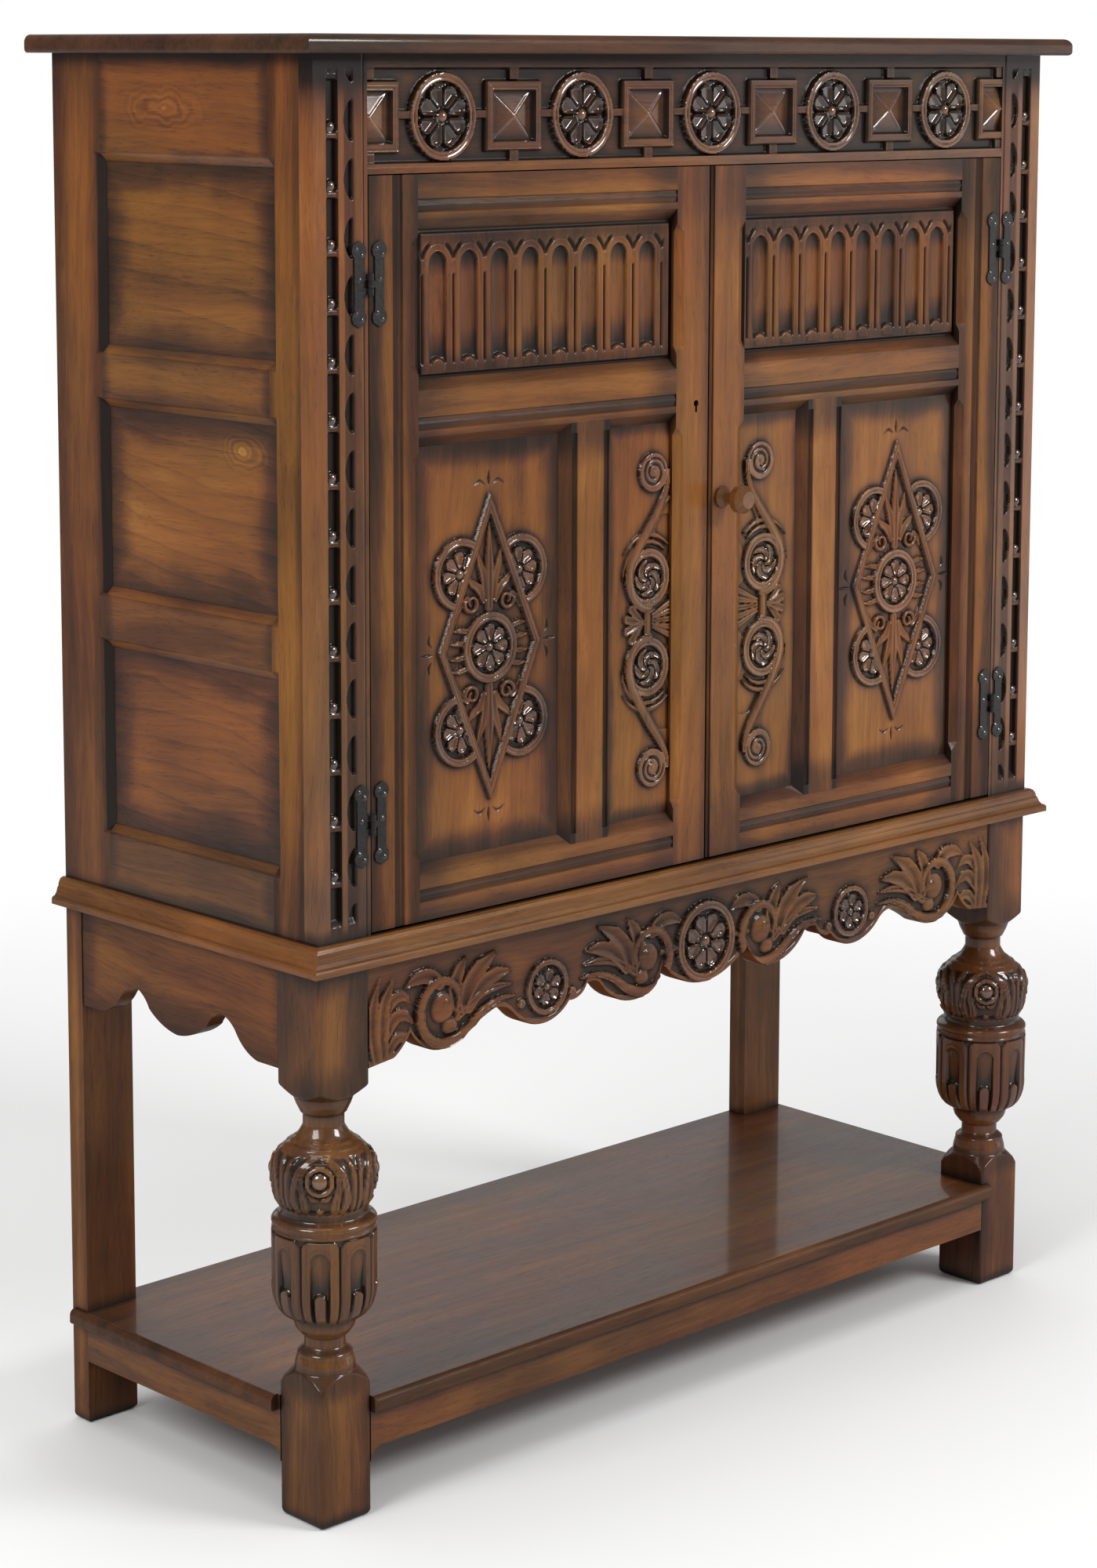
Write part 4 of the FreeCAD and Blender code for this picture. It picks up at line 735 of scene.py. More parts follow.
def carveLozenge(node, cu, cv, halfWidth, halfHeight, roundels, shadeX, tone):
    left, right, bottom, top = spanOf(node)
    field = Carving(spacing(left, cu - lozenge["left"], cu + lozenge["right"], right, lozenge["fine"]),
                    spacing(bottom, cv - lozenge["below"], cv + lozenge["above"], top, lozenge["fine"]))
    u, v = field.u - cu, field.v - cv
    slant = halfWidth * halfHeight / math.hypot(halfWidth, halfHeight)
    inward = (1 - abs(u) / halfWidth - abs(v) / halfHeight) * slant
    for at in roundels:
        field.flower(at, lozenge["ring"], lozenge["petals"], -1.2, inward < 2, button=lozenge["button"], turn=0.3)
    strap, rise = lozenge["strap"], lozenge["leafRise"]
    field.height = np.where(inward > strap * 0.6, -0.9, field.height)
    edge = np.minimum(inward, strap - inward)
    band = lozenge["strapRise"] * smooth(edge, 0, 1.1) - 0.8 * notch(inward, strap - 3.1, 0.7)
    band = band - 0.6 * notch(inward, 2.4, 0.6)
    field.height = np.where(edge > 0, np.maximum(field.height, band), field.height)
    for way in (1, -1):      # leaves above and below the middle roundel
        field.stroke(curve([(cu, cv + way * b) for b in (38, 80, 122)]), (5.5, 6.5, 0.8), (rise, rise * 1.2, 0.8),
                     "vein")
        for side in (1, -1):
            for points, width, high in lozengeLeaves:
                field.stroke(curve([(cu + side * a, cv + way * b) for a, b in points]), width, high, "hollow")
            field.stroke(spiral((cu + side * 23, cv + way * 45), 9.5, 3.0, 0.25 * way - 0.25 * side * way,
                                -1.15 * side * way), (2.6, 1.6), (rise * 1.2, rise))
    for side in (1, -1):      # claws beside it
        for turn in (-0.55, -0.2, 0.2, 0.55):
            start = (cu + side * 34 * math.cos(turn), cv + 34 * math.sin(turn))
            end = (cu + side * 52 * math.cos(turn * 0.55), cv + 50 * math.sin(turn * 0.75))
            field.stroke(curve([start, ((start[0] + end[0]) / 2, (start[1] + end[1]) / 2 + 2 * turn), end]),
                         (3.4, 3.2, 0.6), (rise, rise, 0.6), "vein")
    field.flower((cu, cv), lozenge["middleRing"], lozenge["middlePetals"], -1.0, button=lozenge["button"],
                 turn=0.39)
    cutTips(field, cu, cv, halfWidth, halfHeight)
    finish = makeOak(node, "z", tone, 0.3, 11.0 + cu, [shadeBox(0.032, 0.48, x=shadeX, z=panelField)], 0.7,
                     carved=True, wear=-0.13)
    buildCarved(node, field, lozenge["ground"], finish, smooth(field.height, 0.5, 2.0))


# The right panel's lighter tone (0.26 against 0.20) is painted light, for the stronger light on the right door.
carveLozenge("left_door_lozenge_panel", 225.3, 832.5, 68, 153, [(187, 907), (265, 905), (187, 755), (266, 755)],
             (-0.3978, -0.207), 0.20)
carveLozenge("right_door_lozenge_panel", 826, 836, 70, 156, [(790, 907), (866, 908), (792, 760), (868, 760)],
             (0.212, 0.3938), 0.26)
print("lozenge panels carved")

# The scroll panels

scroll = {"ground": -0.176, "rise": 3.6, "strap": 6.2, "fine": 0.95, "inner": 400, "low": 655, "high": 1012,
          "wheel": (31, 3.0, 10), "petals": (20, 3.8, 5), "moat": (20, 16),
          "wheelAt": 443, "wheels": ((878, 1), (787, -1)), "eyeAt": 450, "eyes": ((985, 1), (682, -1)),
          "fan": (451, 480, 833), "shell": ((417, 848), (410.5, 838), (410.5, 826), (417, 816)),
          "path": [(470, 925), (455, 900), (450, 860), (470, 833), (450, 800), (455, 760), (470, 735)],
          "upper": [(470, 985), (468, 968), (459, 949), (444, 929), (429, 910), (418, 893), (416, 876), (422, 860),
                    (434, 849), (446, 846)],
          "lower": [(446, 817), (432, 814), (420, 803), (416, 788), (420, 770), (431, 751), (446, 729), (460, 710),
                    (469, 695), (471, 682)]}


def carveScroll(node, mirror, seed, shadeX, tone):
    left, right, bottom, top = spanOf(node)
    fineAcross = (scroll["inner"], right) if mirror is None else (left, mirror - scroll["inner"])
    field = Carving(spacing(left, *fineAcross, right, scroll["fine"]),
                    spacing(bottom, scroll["low"], scroll["high"], top, scroll["fine"]), mirror)
    rise, strap, wheelAt, eyeAt = pick(scroll, "rise", "strap", "wheelAt", "eyeAt")
    moatU, moatV = scroll["moat"]
    for a, b in field.place(curve(scroll["path"]))[::2]:      # the ground between the strap and the stile
        part = field.near(a - moatU, a + moatU, b - moatV, b + moatV)
        away = np.hypot((field.u[part] - a) / moatU, (field.v[part] - b) / moatV)
        field.height[part] = np.where(away < 1, np.minimum(field.height[part], -0.9), field.height[part])
    for cv, _ in scroll["wheels"]:
        field.flower((wheelAt, cv), scroll["wheel"], scroll["petals"], -1.0, turn=0.4, swirl=2.3)
    field.stroke(curve([(472, 958), (462, 948), (453, 930), (452, 917)]), (3, 4, 0.8), (2.4, 0.8), "hollow")
    for cv, way in scroll["wheels"]:
        for out, span in ((37.5, 0.50), (44.5, 0.40)):
            angles = np.linspace(0.13, span, 9) * 2 * np.pi
            field.stroke([(wheelAt + out * math.cos(a) * 0.95, cv + way * out * math.sin(a)) for a in angles],
                         (1.2, 3.2, 2.6, 0.6), (2.6, 2.2))
    field.stroke([(wheelAt, 852), (wheelAt, 815)], 6.0, 2.8, "strap")
    root, rim, middle = scroll["fan"]
    for tipU, tipV in scroll["shell"]:
        field.stroke(curve([(437, middle), ((437 + tipU) / 2, (middle + tipV) / 2), (tipU + 3, tipV)]),
                     (2.0, 5.0, 5.2), (2.4, 3.2, 2.6), "hollow")
    for step in (18, 9, 0, -9, -18):      # fan towards the stile
        field.stroke([(root, middle + step * 0.35), (rim, middle + step)], (1.6, 4.2), (1.6, 2.6), "vein")
    field.stroke(curve(scroll["upper"]), (3.6, 4.6, strap, strap, strap, 5.4, 4.6), rise, "strap")
    field.stroke(curve(scroll["lower"]), (4.6, 5.4, strap, strap, strap, 4.6, 3.6), rise, "strap")
    for cv, way in scroll["eyes"]:
        field.roundel((eyeAt, cv), 20.5, 3.3, 20.5, dish=0.5, groove=0)
        field.stroke(spiral((eyeAt, cv), 16.0, 5.4, 0.02, 1.75 * way), (1.0, 1.7, 1.7, 1.2),
                     (1.6, 2.4, 2.4, 1.8), "cut")
        field.stroke([(eyeAt - 0.5, cv), (eyeAt + 0.5, cv)], 3.6, 3.9)
    finish = makeOak(node, "z", tone, 0.3, seed, [shadeBox(0.020, 0.44, x=shadeX, z=panelField)], 0.7, carved=True,
                     wear=-0.09)
    buildCarved(node, field, scroll["ground"], finish, smooth(field.height, 0.5, 2.0))


carveScroll("left_door_scroll_panel", None, 23.0, (-0.141, -0.030), 0.22)
carveScroll("right_door_scroll_panel", 1058.0, 31.0, (0.030, 0.146), 0.26)
print("scroll panels carved")

# Rows of one carved bay, repeated and welded by Geometry Nodes

weldDistance = 0.00002


def makeRowTree():
    nodes, given = newTree("bayRow", "GeometryNodeTree",
                           {"Bay": "Object", "Ends": "Object", "Count": "Int", "Step": "Vector", "Weld": "Float",
                            "Finish": "Material"}, {"Geometry": "Geometry"})
    both = nodes.add("GeometryNodeJoinGeometry")
    for part in (nodes.row(given, given["Bay"]).outputs[0], nodes.shape(given["Ends"])):
        nodes.tree.links.new(part, both.inputs[0])
    weld = nodes.add("GeometryNodeMergeByDistance", {"Geometry": nodes.real(both).outputs[0],
                                                     "Distance": given["Weld"]})
    return nodes.close(weld, given["Finish"])


rowTree = makeRowTree()


def runTree(name, tree, values):
    holder = addObject(name, bpy.data.meshes.new(name + "_start"))
    modifier = holder.modifiers.new("nodes", "NODES")
    modifier.node_group = tree
    for item in tree.interface.items_tree:
        if item.in_out == "INPUT":
            modifier[item.identifier] = values[item.name]
    bpy.context.view_layer.update()
    mesh = bpy.data.meshes.new_from_object(holder.evaluated_get(bpy.context.evaluated_depsgraph_get()))
    holder.modifiers.remove(modifier)
    old, holder.data = holder.data, mesh
    bpy.data.meshes.remove(old)
    mesh.name = name
    return holder


def sheetMesh(name, patches, ground):      # open sheets that a row welds together
    quads, start = [], 0
    for patch in patches:
        quads.append(quadsOf(np.arange(start, start + patch.u.size).reshape(patch.u.shape)))
        start += patch.u.size
    layers = {label: np.concatenate([getattr(patch, label).ravel() for patch in patches])
              for label in ("recess", "worn", "gloss")}
    points = np.concatenate([surface(patch, ground) for patch in patches])
    return addMesh(name, points.tolist(), np.concatenate(quads).tolist(), layers)


def closeRear(made, back):
    work = bmesh.new()
    work.from_mesh(made.data)
    walls = bmesh.ops.extrude_edge_only(work, edges=[edge for edge in work.edges if edge.is_boundary])["geom"]
    for vert in (item for item in walls if isinstance(item, bmesh.types.BMVert)):
        vert.co.y = back
    bmesh.ops.holes_fill(work, edges=[edge for edge in work.edges if edge.is_boundary], sides=0)
    bmesh.ops.recalc_face_normals(work, faces=work.faces[:])
    work.to_mesh(made.data)
    work.free()
    shadeMesh(made)


def makeRow(node, bay, ends, ground, count, step, finish):
    sheets = {"Bay": sheetMesh(node + "_bay", [bay], ground), "Ends": sheetMesh(node + "_ends", ends, ground)}
    made = runTree(node + "_carved", rowTree, {**sheets, "Count": count, "Step": step, "Weld": weldDistance,
                                               "Finish": finish})
    for sheet in sheets.values():
        bpy.data.objects.remove(sheet)
    closeRear(made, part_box(node)[1].y)
    standFor(made, node)


# Arcades: eight nulled flutes under overlapping arches

arcade = {"ground": -0.176, "pitch": 40.2, "flute": 11.6, "low": 1118.0, "spring": 1206.5, "arch": 19.4, "border": 1.8,
          "depth": 3.2, "count": 8, "fine": 0.9, "meet": (1209, 1214), "foot": 10.6, "footAt": 1107.5, "footLow": 1105,
          "sunk": -1.2, "rim": (1100.5, 1236.5), "fineUp": (1098, 1240), "field": (1.0988, 1.2388)}


def archedBay(columns, up, middle):      # with the two layers that paint shadow at the top and bottom of its flute
    bay = Carving(columns, up)
    u, v = bay.u - middle, bay.v
    away = np.hypot(u, np.maximum(v - arcade["spring"], 0))
    # the gouge cuts between neighbouring arches, deepest where they meet
    lens = notch(away, arcade["arch"] + 1.2, 1.7) * smooth(abs(u), 8, 13.5) * smooth(v, *arcade["meet"])
    shape = arcade["border"] - 3.0 * lens
    shape = shape - 0.5 * notch(away, arcade["arch"] - 0.6, 0.6) * smooth(v, 1200, 1206)
    shape = shape - 1.9 * notch(abs(u), arcade["pitch"] / 2, 1.3) * smooth(v, 1110, 1114) * smooth(-v, -1198, -1195)
    shape = shape - 0.45 * notch(away, arcade["flute"] + 1.6, 0.7) * smooth(v, 1112, 1118)
    edge = arcade["flute"] - away
    flute = smooth(edge, 0, 1.6) * smooth(v, arcade["low"] - 8, arcade["low"])
    shape = shape - (arcade["depth"] + 0.9 * (1 - (u / arcade["flute"]) ** 2).clip(0, 1)) * flute
    foot = arcade["foot"] - np.hypot(u, v - arcade["footAt"])
    bay.height = np.where((foot > 0) & (v > arcade["footLow"]),
                          np.maximum(shape, -1.6 + 3.9 * smooth(foot, 0, 2.4)), shape)
    shadow = 0.55 * (edge > 0.6) * np.maximum(smooth(v, 1193, 1212), smooth(-v, -1146, -1122)) * (foot < 0)
    dark = np.where(edge > 0.4, 0.18 + 0.82 * np.maximum(smooth(v, 1193, 1210), smooth(-v, -1152, -1126)), 1.0)
    return bay, dark, shadow


def sinkEdges(bay, rim):
    low, high = arcade["rim"]
    rim = np.minimum(rim, np.minimum(bay.v - low, high - bay.v))
    bay.height = np.where(rim < 0, arcade["sunk"],
                          (bay.height - arcade["sunk"]) * smooth(rim, -0.1, 2.4) + arcade["sunk"])


def carveArcade(node, firstMiddle, margins, seed, shadeX):
    left, right, bottom, top = spanOf(node)
    pitch, fine, border, count = pick(arcade, "pitch", "fine", "border", "count")
    up = spacing(bottom, *arcade["fineUp"], top, fine)
    start = firstMiddle - pitch / 2
    stop = start + pitch * count
    bay, dark, shadow = archedBay(np.linspace(start, start + pitch, int(round(pitch / fine)) + 1), up, firstMiddle)
    sinkEdges(bay, 99)
    ends = []
    for a, b, joint, margin, middle in ((left, start, start, margins[0], firstMiddle - pitch),
                                        (stop, right, stop, margins[1], stop + pitch / 2)):
        end = archedBay(np.linspace(a, b, max(3, int((b - a) / fine))), up, middle)[0]
        reach = abs(end.u - joint)
        plain = border + (end.height - border) * smooth(-reach, -4, 0)
        end.height = np.where(end.v < arcade["spring"] - 8, np.where(reach < 4, end.height, border), plain)
        sinkEdges(end, margin - reach)
        end.height = np.where(reach < 0.01, bay.height[0][None, :], end.height)
        end.recess, end.worn = stainShadeAndWear(end.height)
        ends.append(end)
    recess, bay.worn = tiled(bay.height, 0)
    # the painted shadow of the flutes goes into the recess layer
    bay.recess = np.clip(recess * dark + shadow, 0, 1)
    finish = makeOak(node, "z", 0.24, 0.3, seed, [shadeBox(0.030, 0.32, x=shadeX, z=arcade["field"])], 0.5,
                     carved=True, darken=0.50, wear=0.10)
    makeRow(node, bay, ends, arcade["ground"], count, (pitch * mm, 0, 0), finish)


carveArcade("left_door_arcade_panel", 158.6, (3.5, 12.0), 41.0, (-0.3978, -0.050))
carveArcade("right_door_arcade_panel", 606.2, (6.0, 9.0), 47.0, (0.050, 0.3938))
print("arcades carved")

# Frieze: medallions and pyramid squares linked by bars

frieze = {"ground": -0.1795, "pitch": 182.5, "centre": 525.0, "middle": 1344.0, "medallion": 42.0, "ring": 10.0,
          "petals": (31.0, 6.0, 8), "button": 6.5, "square": 36.5, "squareHigh": 33.5, "frame": 10.0, "count": 5,
          "fine": 1.12, "rise": 5.5, "link": 30, "field": (1301.5, 1389.0), "ends": (65.0, 985.0), "endColumns": 5}


def carveFrieze():
    node = "frieze_rail"
    (bottom, top), (left, right), (low, high) = spanOf(node)[2:], frieze["ends"], frieze["field"]
    pitch, count, rise, frame, fine = pick(frieze, "pitch", "count", "rise", "frame", "fine")
    start = frieze["centre"] - pitch * count / 2
    up = np.linspace(bottom, top, int((top - bottom) / fine) + 1)
    bay = Carving(np.linspace(start, start + pitch, int(round(pitch / fine)) + 1), up)
    cu, cv = start + pitch / 2, frieze["middle"]
    u, v = abs(bay.u - cu), abs(bay.v - cv)
    fromSquare = pitch / 2 - u
    away = np.maximum(fromSquare - frieze["square"], v - frieze["squareHigh"])
    inside = away < -frame
    link = rise * 0.8 * smooth(-abs(bay.v - cv - 2), -4.6, -3.2) * (u > frieze["link"])
    stub = np.where(v > frieze["link"], rise * 0.8 * smooth(-abs(fromSquare), -7.0, -5.6), 0)
    bay.height = np.maximum.reduce([bay.height, link, stub])
    edge = np.minimum(-away, away + frame)
    bay.height = np.where(edge > 0, rise * smooth(edge, 0, 0.9) - 0.6 * notch(edge, 3.2, 0.7), bay.height)
    beside, above = fromSquare / (frieze["square"] - frame), v / (frieze["squareHigh"] - frame)
    slope = 1 - np.maximum(beside, above)
    pyramid = -1.0 + 5.6 * np.clip(slope, 0, 1) + 0.8 * notch(beside - above, 0, 0.055) * (slope > 0.04)
    bay.height = np.where(inside, pyramid, bay.height)
    bay.flower((cu, cv), (frieze["medallion"], rise, frieze["ring"]), frieze["petals"], button=frieze["button"])
    bay.gloss = np.maximum(bay.gloss, notch(beside - above, 0, 0.09) * (slope > 0.04) * inside)
    plain = np.maximum(low - bay.v, bay.v - high)      # above 0 in the borders
    bay.height = np.maximum(bay.height, rise * smooth(plain, -1.0, 0.6)) - 0.7 * notch(bay.v, 1299.2, 0.6)
    out = np.hypot(bay.u - cu, bay.v - cv)
    worn = np.maximum.reduce([
        0.90 * smooth(-out, -frieze["medallion"], 2 - frieze["medallion"]) * smooth(out, 31, 33),
        1.3 * smooth(-out, -6.5, -5), 0.35 * (out < 31) * (out > 8),
        np.where(inside, 0.55 + 0.85 * np.clip(slope, 0, 1), 0),
        np.where(edge > 1.5, 0.60, 0) * (out > frieze["medallion"]), 1.1 * smooth(-bay.v, -low, 1 - low)])
    # painted shadow: the upper border, under the top board's overhang, is darkened
    worn = np.where(bay.v > high - 0.5, -0.35, worn)
    ends = []
    for a, b in ((left, start), (start + pitch * count, right)):
        end = Carving(np.linspace(a, b, frieze["endColumns"]), up)
        end.height = np.repeat(bay.height[:1], frieze["endColumns"], 0)
        end.recess, end.worn = stainShadeAndWear(end.height)[0], np.repeat(worn[:1], frieze["endColumns"], 0)
        ends.append(end)
    recess, rubbedOff = tiled(bay.height, 0)
    bay.recess = recess * np.where(inside, 0.25, bay.calm)
    bay.worn = rubbedOff * 0.5 + worn
    finish = makeOak(node, "x", 0.295, 0.4, 53.0, [], 0.8, carved=True, wear=0.20, darken=0.24)
    makeRow(node, bay, ends, frieze["ground"], count, (pitch * mm, 0, 0), finish)


carveFrieze()
print("frieze carved")

# Front stiles: two runs of gouged pits, a bead at the end of each

stileRun = {"ground": -0.185, "pitch": 53.7, "count": 14, "top": 1349.5, "outer": 22.6, "inner": 42.2, "half": 6.8,
            "depth": 5.6, "fine": 0.95, "bead": 6.0, "beadAt": 1336.0, "waveAt": 1322.0, "wave": 0.74, "width": 65,
            "grooveAt": 60.0, "twin": 1050.0}


def pitRun(field):
    side = field.u - stileRun["outer"]
    t = fromNearest(field.v, stileRun["beadAt"], stileRun["pitch"])      # 0 at the bead
    slope = np.where(t < 0, smooth(t, -12.0, -10.4) * smooth(-t, 1, 7) * 4.6, 0)
    bead = 5.5 * dome(np.hypot(side, t), stileRun["bead"])
    return smooth(stileRun["half"] - abs(side), 0, 1.3) * (np.maximum(slope, bead) - stileRun["depth"])


def waveRun(field):
    middle = stileRun["inner"]
    t = (field.v - stileRun["waveAt"]) / stileRun["pitch"] % 1.0
    swing = np.sin(np.pi * np.clip(t / stileRun["wave"], 0, 1))
    inner = middle + 5.2 - 10.8 * np.clip(swing, 0, 1) ** 0.55
    wall = smooth(field.u - inner, 0, 1.4) * smooth(middle + 6.0 - field.u, 0, 2.4)
    return -4.2 * wall * smooth(swing, 0.02, 0.3)


def stileWearAndShadow(field):      # the outer strip and the ridge between the runs are worn to orange; the top end, under the top board, gets painted shadow
    u, v = field.u, field.v
    ridge = 0.80 * smooth(u, 29.6, 30.4) * smooth(-u, -37.5, -36.0)
    worn = np.maximum.reduce([0.95 * smooth(-u, -15.6, -14.8), ridge, 0.40 * smooth(u, 48.5, 50.5)])
    # painted shadow darkens the top end of the stile under the top board
    return worn * smooth(-v, -1382, -1352) * smooth(v, 577, 592) - 0.9 * smooth(v, 1362, 1388)


def bridgeLight(field):
    t = fromNearest(field.v, stileRun["beadAt"], stileRun["pitch"])
    side = abs(field.u - stileRun["outer"])
    bridge = smooth(t, -11.5, -10.0) * smooth(-t, 0, 3) * (side < 9)
    return 1 - 0.70 * np.maximum(bridge, np.hypot(side, t) < stileRun["bead"] - 0.4)


def stileField(up):
    field = Carving(np.linspace(0, stileRun["width"], int(stileRun["width"] / stileRun["fine"]) + 1), up)
    groove = 0.7 * notch(field.u, stileRun["grooveAt"], 0.7)
    field.height = pitRun(field) + waveRun(field) - groove
    t = fromNearest(field.v, stileRun["beadAt"], stileRun["pitch"])
    field.gloss = 1.0 * (np.hypot(field.u - stileRun["outer"], t) < stileRun["bead"])
    return field, groove


def carveStile(node, mirror, seed, tone):
    pitch, count, top, fine = pick(stileRun, "pitch", "count", "top", "fine")
    low, high = spanOf(node)[2:]
    bottom = top - pitch * count
    bay = stileField(np.linspace(bottom, bottom + pitch, int(round(pitch / fine)) + 1))[0]
    ends = []      # the run fades out over its ends: from, to, joint, fade, reach of the polish
    for a, b, joint, fade, polish in ((low, bottom, bottom, (0, 10), 0.5), (top, high, top, (30, 40), 30)):
        end, groove = stileField(np.linspace(a, b, int((b - a) / fine) + 2))
        reach = abs(end.v - joint)
        share = smooth(reach, *fade)
        end.height = np.where(reach < 0.01, bay.height[:, :1], end.height * (1 - share) - groove * share)
        end.gloss = end.gloss * (reach < polish)
        end.recess, end.worn = stainShadeAndWear(end.height)[0], stileWearAndShadow(end)
        ends.append(end)
    bay.recess, bay.worn = tiled(bay.height, 1)[0] * bridgeLight(bay), stileWearAndShadow(bay)
    if mirror:
        for part in [bay, *ends]:
            for layer in ("u", "v", "height", "gloss", "recess", "worn"):
                setattr(part, layer, getattr(part, layer)[::-1])
            part.u = stileRun["twin"] - part.u
    finish = makeOak(node, "z", tone, 0.4, seed, [nodeShade(node, "z", 0.030, 0.05, 0.12)], 1.0, carved=True,
                     darken=0.68, wear=0.32)
    makeRow(node, bay, ends, stileRun["ground"], count, (0, 0, pitch * mm), finish)


carveStile("front_stile_left", False, 61.0, 0.21)
carveStile("front_stile_right", True, 67.0, 0.24)
print("front stiles carved")

# Turned legs with carved covers and cups

leg = {"square": 31.0, "arris": 6.0, "turns": 192, "fine": 1.15, "belly": 51.0, "corner": 0.525,
       "turned": (150.5, 420.5), "cup": (203, 292), "cover": (311, 373), "coverGrid": (40.1, 161, 306, 376, 127),
       "boss": (349, 8.5), "bossRing": (15.4, 3.3, 6.0), "drop": 317.5, "tongueTop": 281, "fluteTop": 269,
       "cupDrop": (231.5, 7.2), "inner": 0.463, "rear": -0.123,
       "dark": ((309, 0.55, 4), (404, 0.4, 3), (203, 0.5, 3), (170, 0.4, 3)),      # turned grooves
       "foot": [0, 0.6, 1.6, 3.2, 6, 30, 60, 90, 115], "block": [436, 460, 500, 540, 575],
       "profile": ((431.5, 43.6), (429, 41), (425, 35), (421, 29.5), (413, 26.5), (407, 23.5), (404.5, 22.4),
                   (403.5, 20), (392, 20), (388, 22), (384, 24.5), (381.5, 26.5), (379, 30.5), (377.5, 31.2),
                   (376, 33), (375, 36.2), (373.6, 37), (372, 38.4), (369.5, 42), (366, 46), (361.5, 48.8),
                   (357, 50.4), (351, 51.3), (345, 51.5), (336, 51.3), (329, 50.8), (321, 48.4), (315.5, 45),
                   (312.5, 43.2), (309, 42.6), (306, 43.2), (304, 46.5), (302.5, 49.2), (300.5, 50.8), (298, 51),
                   (296, 49.6), (294.5, 49.4), (292.5, 50.6), (290, 51), (236, 51), (230, 50.8), (224, 50),
                   (217, 48), (211, 45), (207, 41.5), (205, 38.5), (203.5, 31.5), (201, 30.8), (198, 30.4),
                   (192, 28.6), (187, 24.8), (184.5, 22.6), (183, 20), (173.5, 20), (171.5, 22), (169, 25.2),
                   (167, 27.2), (165, 26.6), (163, 27.4), (157, 29), (152, 29.6), (150, 29.8), (146, 34),
                   (140, 40), (133, 43.7))}
coverLeaves = (      # points, width, rise
    ([(20, 374), (31, 368), (35.8, 355), (36.4, 338), (36.2, 318)], (1.0, 2.6, 3.2, 3.6, 3.5), 2.5),
    ([(3, 369), (13, 366), (22, 357), (26.8, 343), (27.8, 328), (25.2, 317)], (1.4, 3.2, 4.0, 4.2, 4.8, 4.6), 3.0),
    ([(4, 364.5), (11.5, 361), (17.5, 352), (18.5, 340), (16.6, 328), (16.4, 318)],
     (1.0, 2.8, 3.4, 3.8, 5.0, 5.2), 2.8),
    ([(3.5, 331), (7, 332), (10.5, 337), (12.3, 345)], (2.6, 3.2, 2.8, 1.4), 2.6))


def carveCover():      # a quarter of the cover, unrolled: a roundel, and leaves that fall round it
    half, columns, low, high, rows = leg["coverGrid"]
    cover = Carving(np.linspace(-half, half, columns), np.linspace(low, high, rows))
    middle, radius = leg["boss"]
    for points, width, rise in coverLeaves:
        for way in (1, -1):
            cover.stroke(curve([(way * p, q) for p, q in points]), width, rise, "vein")
    for at, out in ((middle, 17.2), (leg["drop"], 6.0)):
        moat = np.hypot(cover.u, cover.v - at)
        cover.height = np.where(moat < out, np.minimum(cover.height, 0.4 + 2.4 * smooth(moat, out - 1.6, out)),
                                cover.height)
    cover.stroke([(0, leg["drop"] - 0.2), (0, leg["drop"] + 0.2)], 4.4, 3.0)
    cover.roundel((0, middle), *leg["bossRing"], dish=0.4, groove=0)
    part, away, _, _ = cover.disc((0, middle), 9, None)
    cover.lift(part, away < radius, 4.5 * dome(away, radius))
    return cover


def heightAt(carving, u, v):      # between the points of an even grid
    spots = []
    for line, value in ((carving.across, u), (carving.up, v)):
        steps = len(line) - 1
        at = np.clip((value - line[0]) / (line[-1] - line[0]) * steps, 0, steps - 0.001)
        spots.append((at.astype(int), at - at.astype(int)))
    (i, alongU), (j, alongV) = spots
    h = carving.height
    return (h[i, j] * (1 - alongU) * (1 - alongV) + h[i + 1, j] * alongU * (1 - alongV)
            + h[i, j + 1] * (1 - alongU) * alongV + h[i + 1, j + 1] * alongU * alongV)


def carveCup(a, z):      # eight tongues, centred on the corners of the block; also where they and their drops are
    s = fromNearest(a, np.pi / 4, np.pi / 4) * leg["belly"]
    corner = np.hypot(np.maximum(abs(s) - 10.4, 0), np.maximum(z - leg["tongueTop"], 0)) - 8.0
    cut = 1.9 * smooth(corner, 0, 0.9) * smooth(z, 274, 279)
    cut = np.maximum(cut, 2.6 * notch(abs(s), 20.03, 1.5) * smooth(-z, -289, -285))
    away = np.hypot(s, np.maximum(z - leg["fluteTop"], 0))
    flute = smooth(10.2 - away, 0, 1.5) * (2.2 + 2.0 * smooth(-z, -272, -240))
    dropAt, dropRadius = leg["cupDrop"]
    drop = dropRadius - np.hypot(s, np.maximum(z - dropAt, 0))
    flute = np.where(drop > 0, np.minimum(flute, 4.4 * (1 - smooth(drop, 0, 2.2)) - 0.4), flute)
    cut = np.maximum(cut, flute) + 0.5 * notch(away, 13.4, 0.6) * (z < 284)
    return -cut * smooth(z, 203, 209) * smooth(-z, -292, -289), flute > 1.0, drop > 0


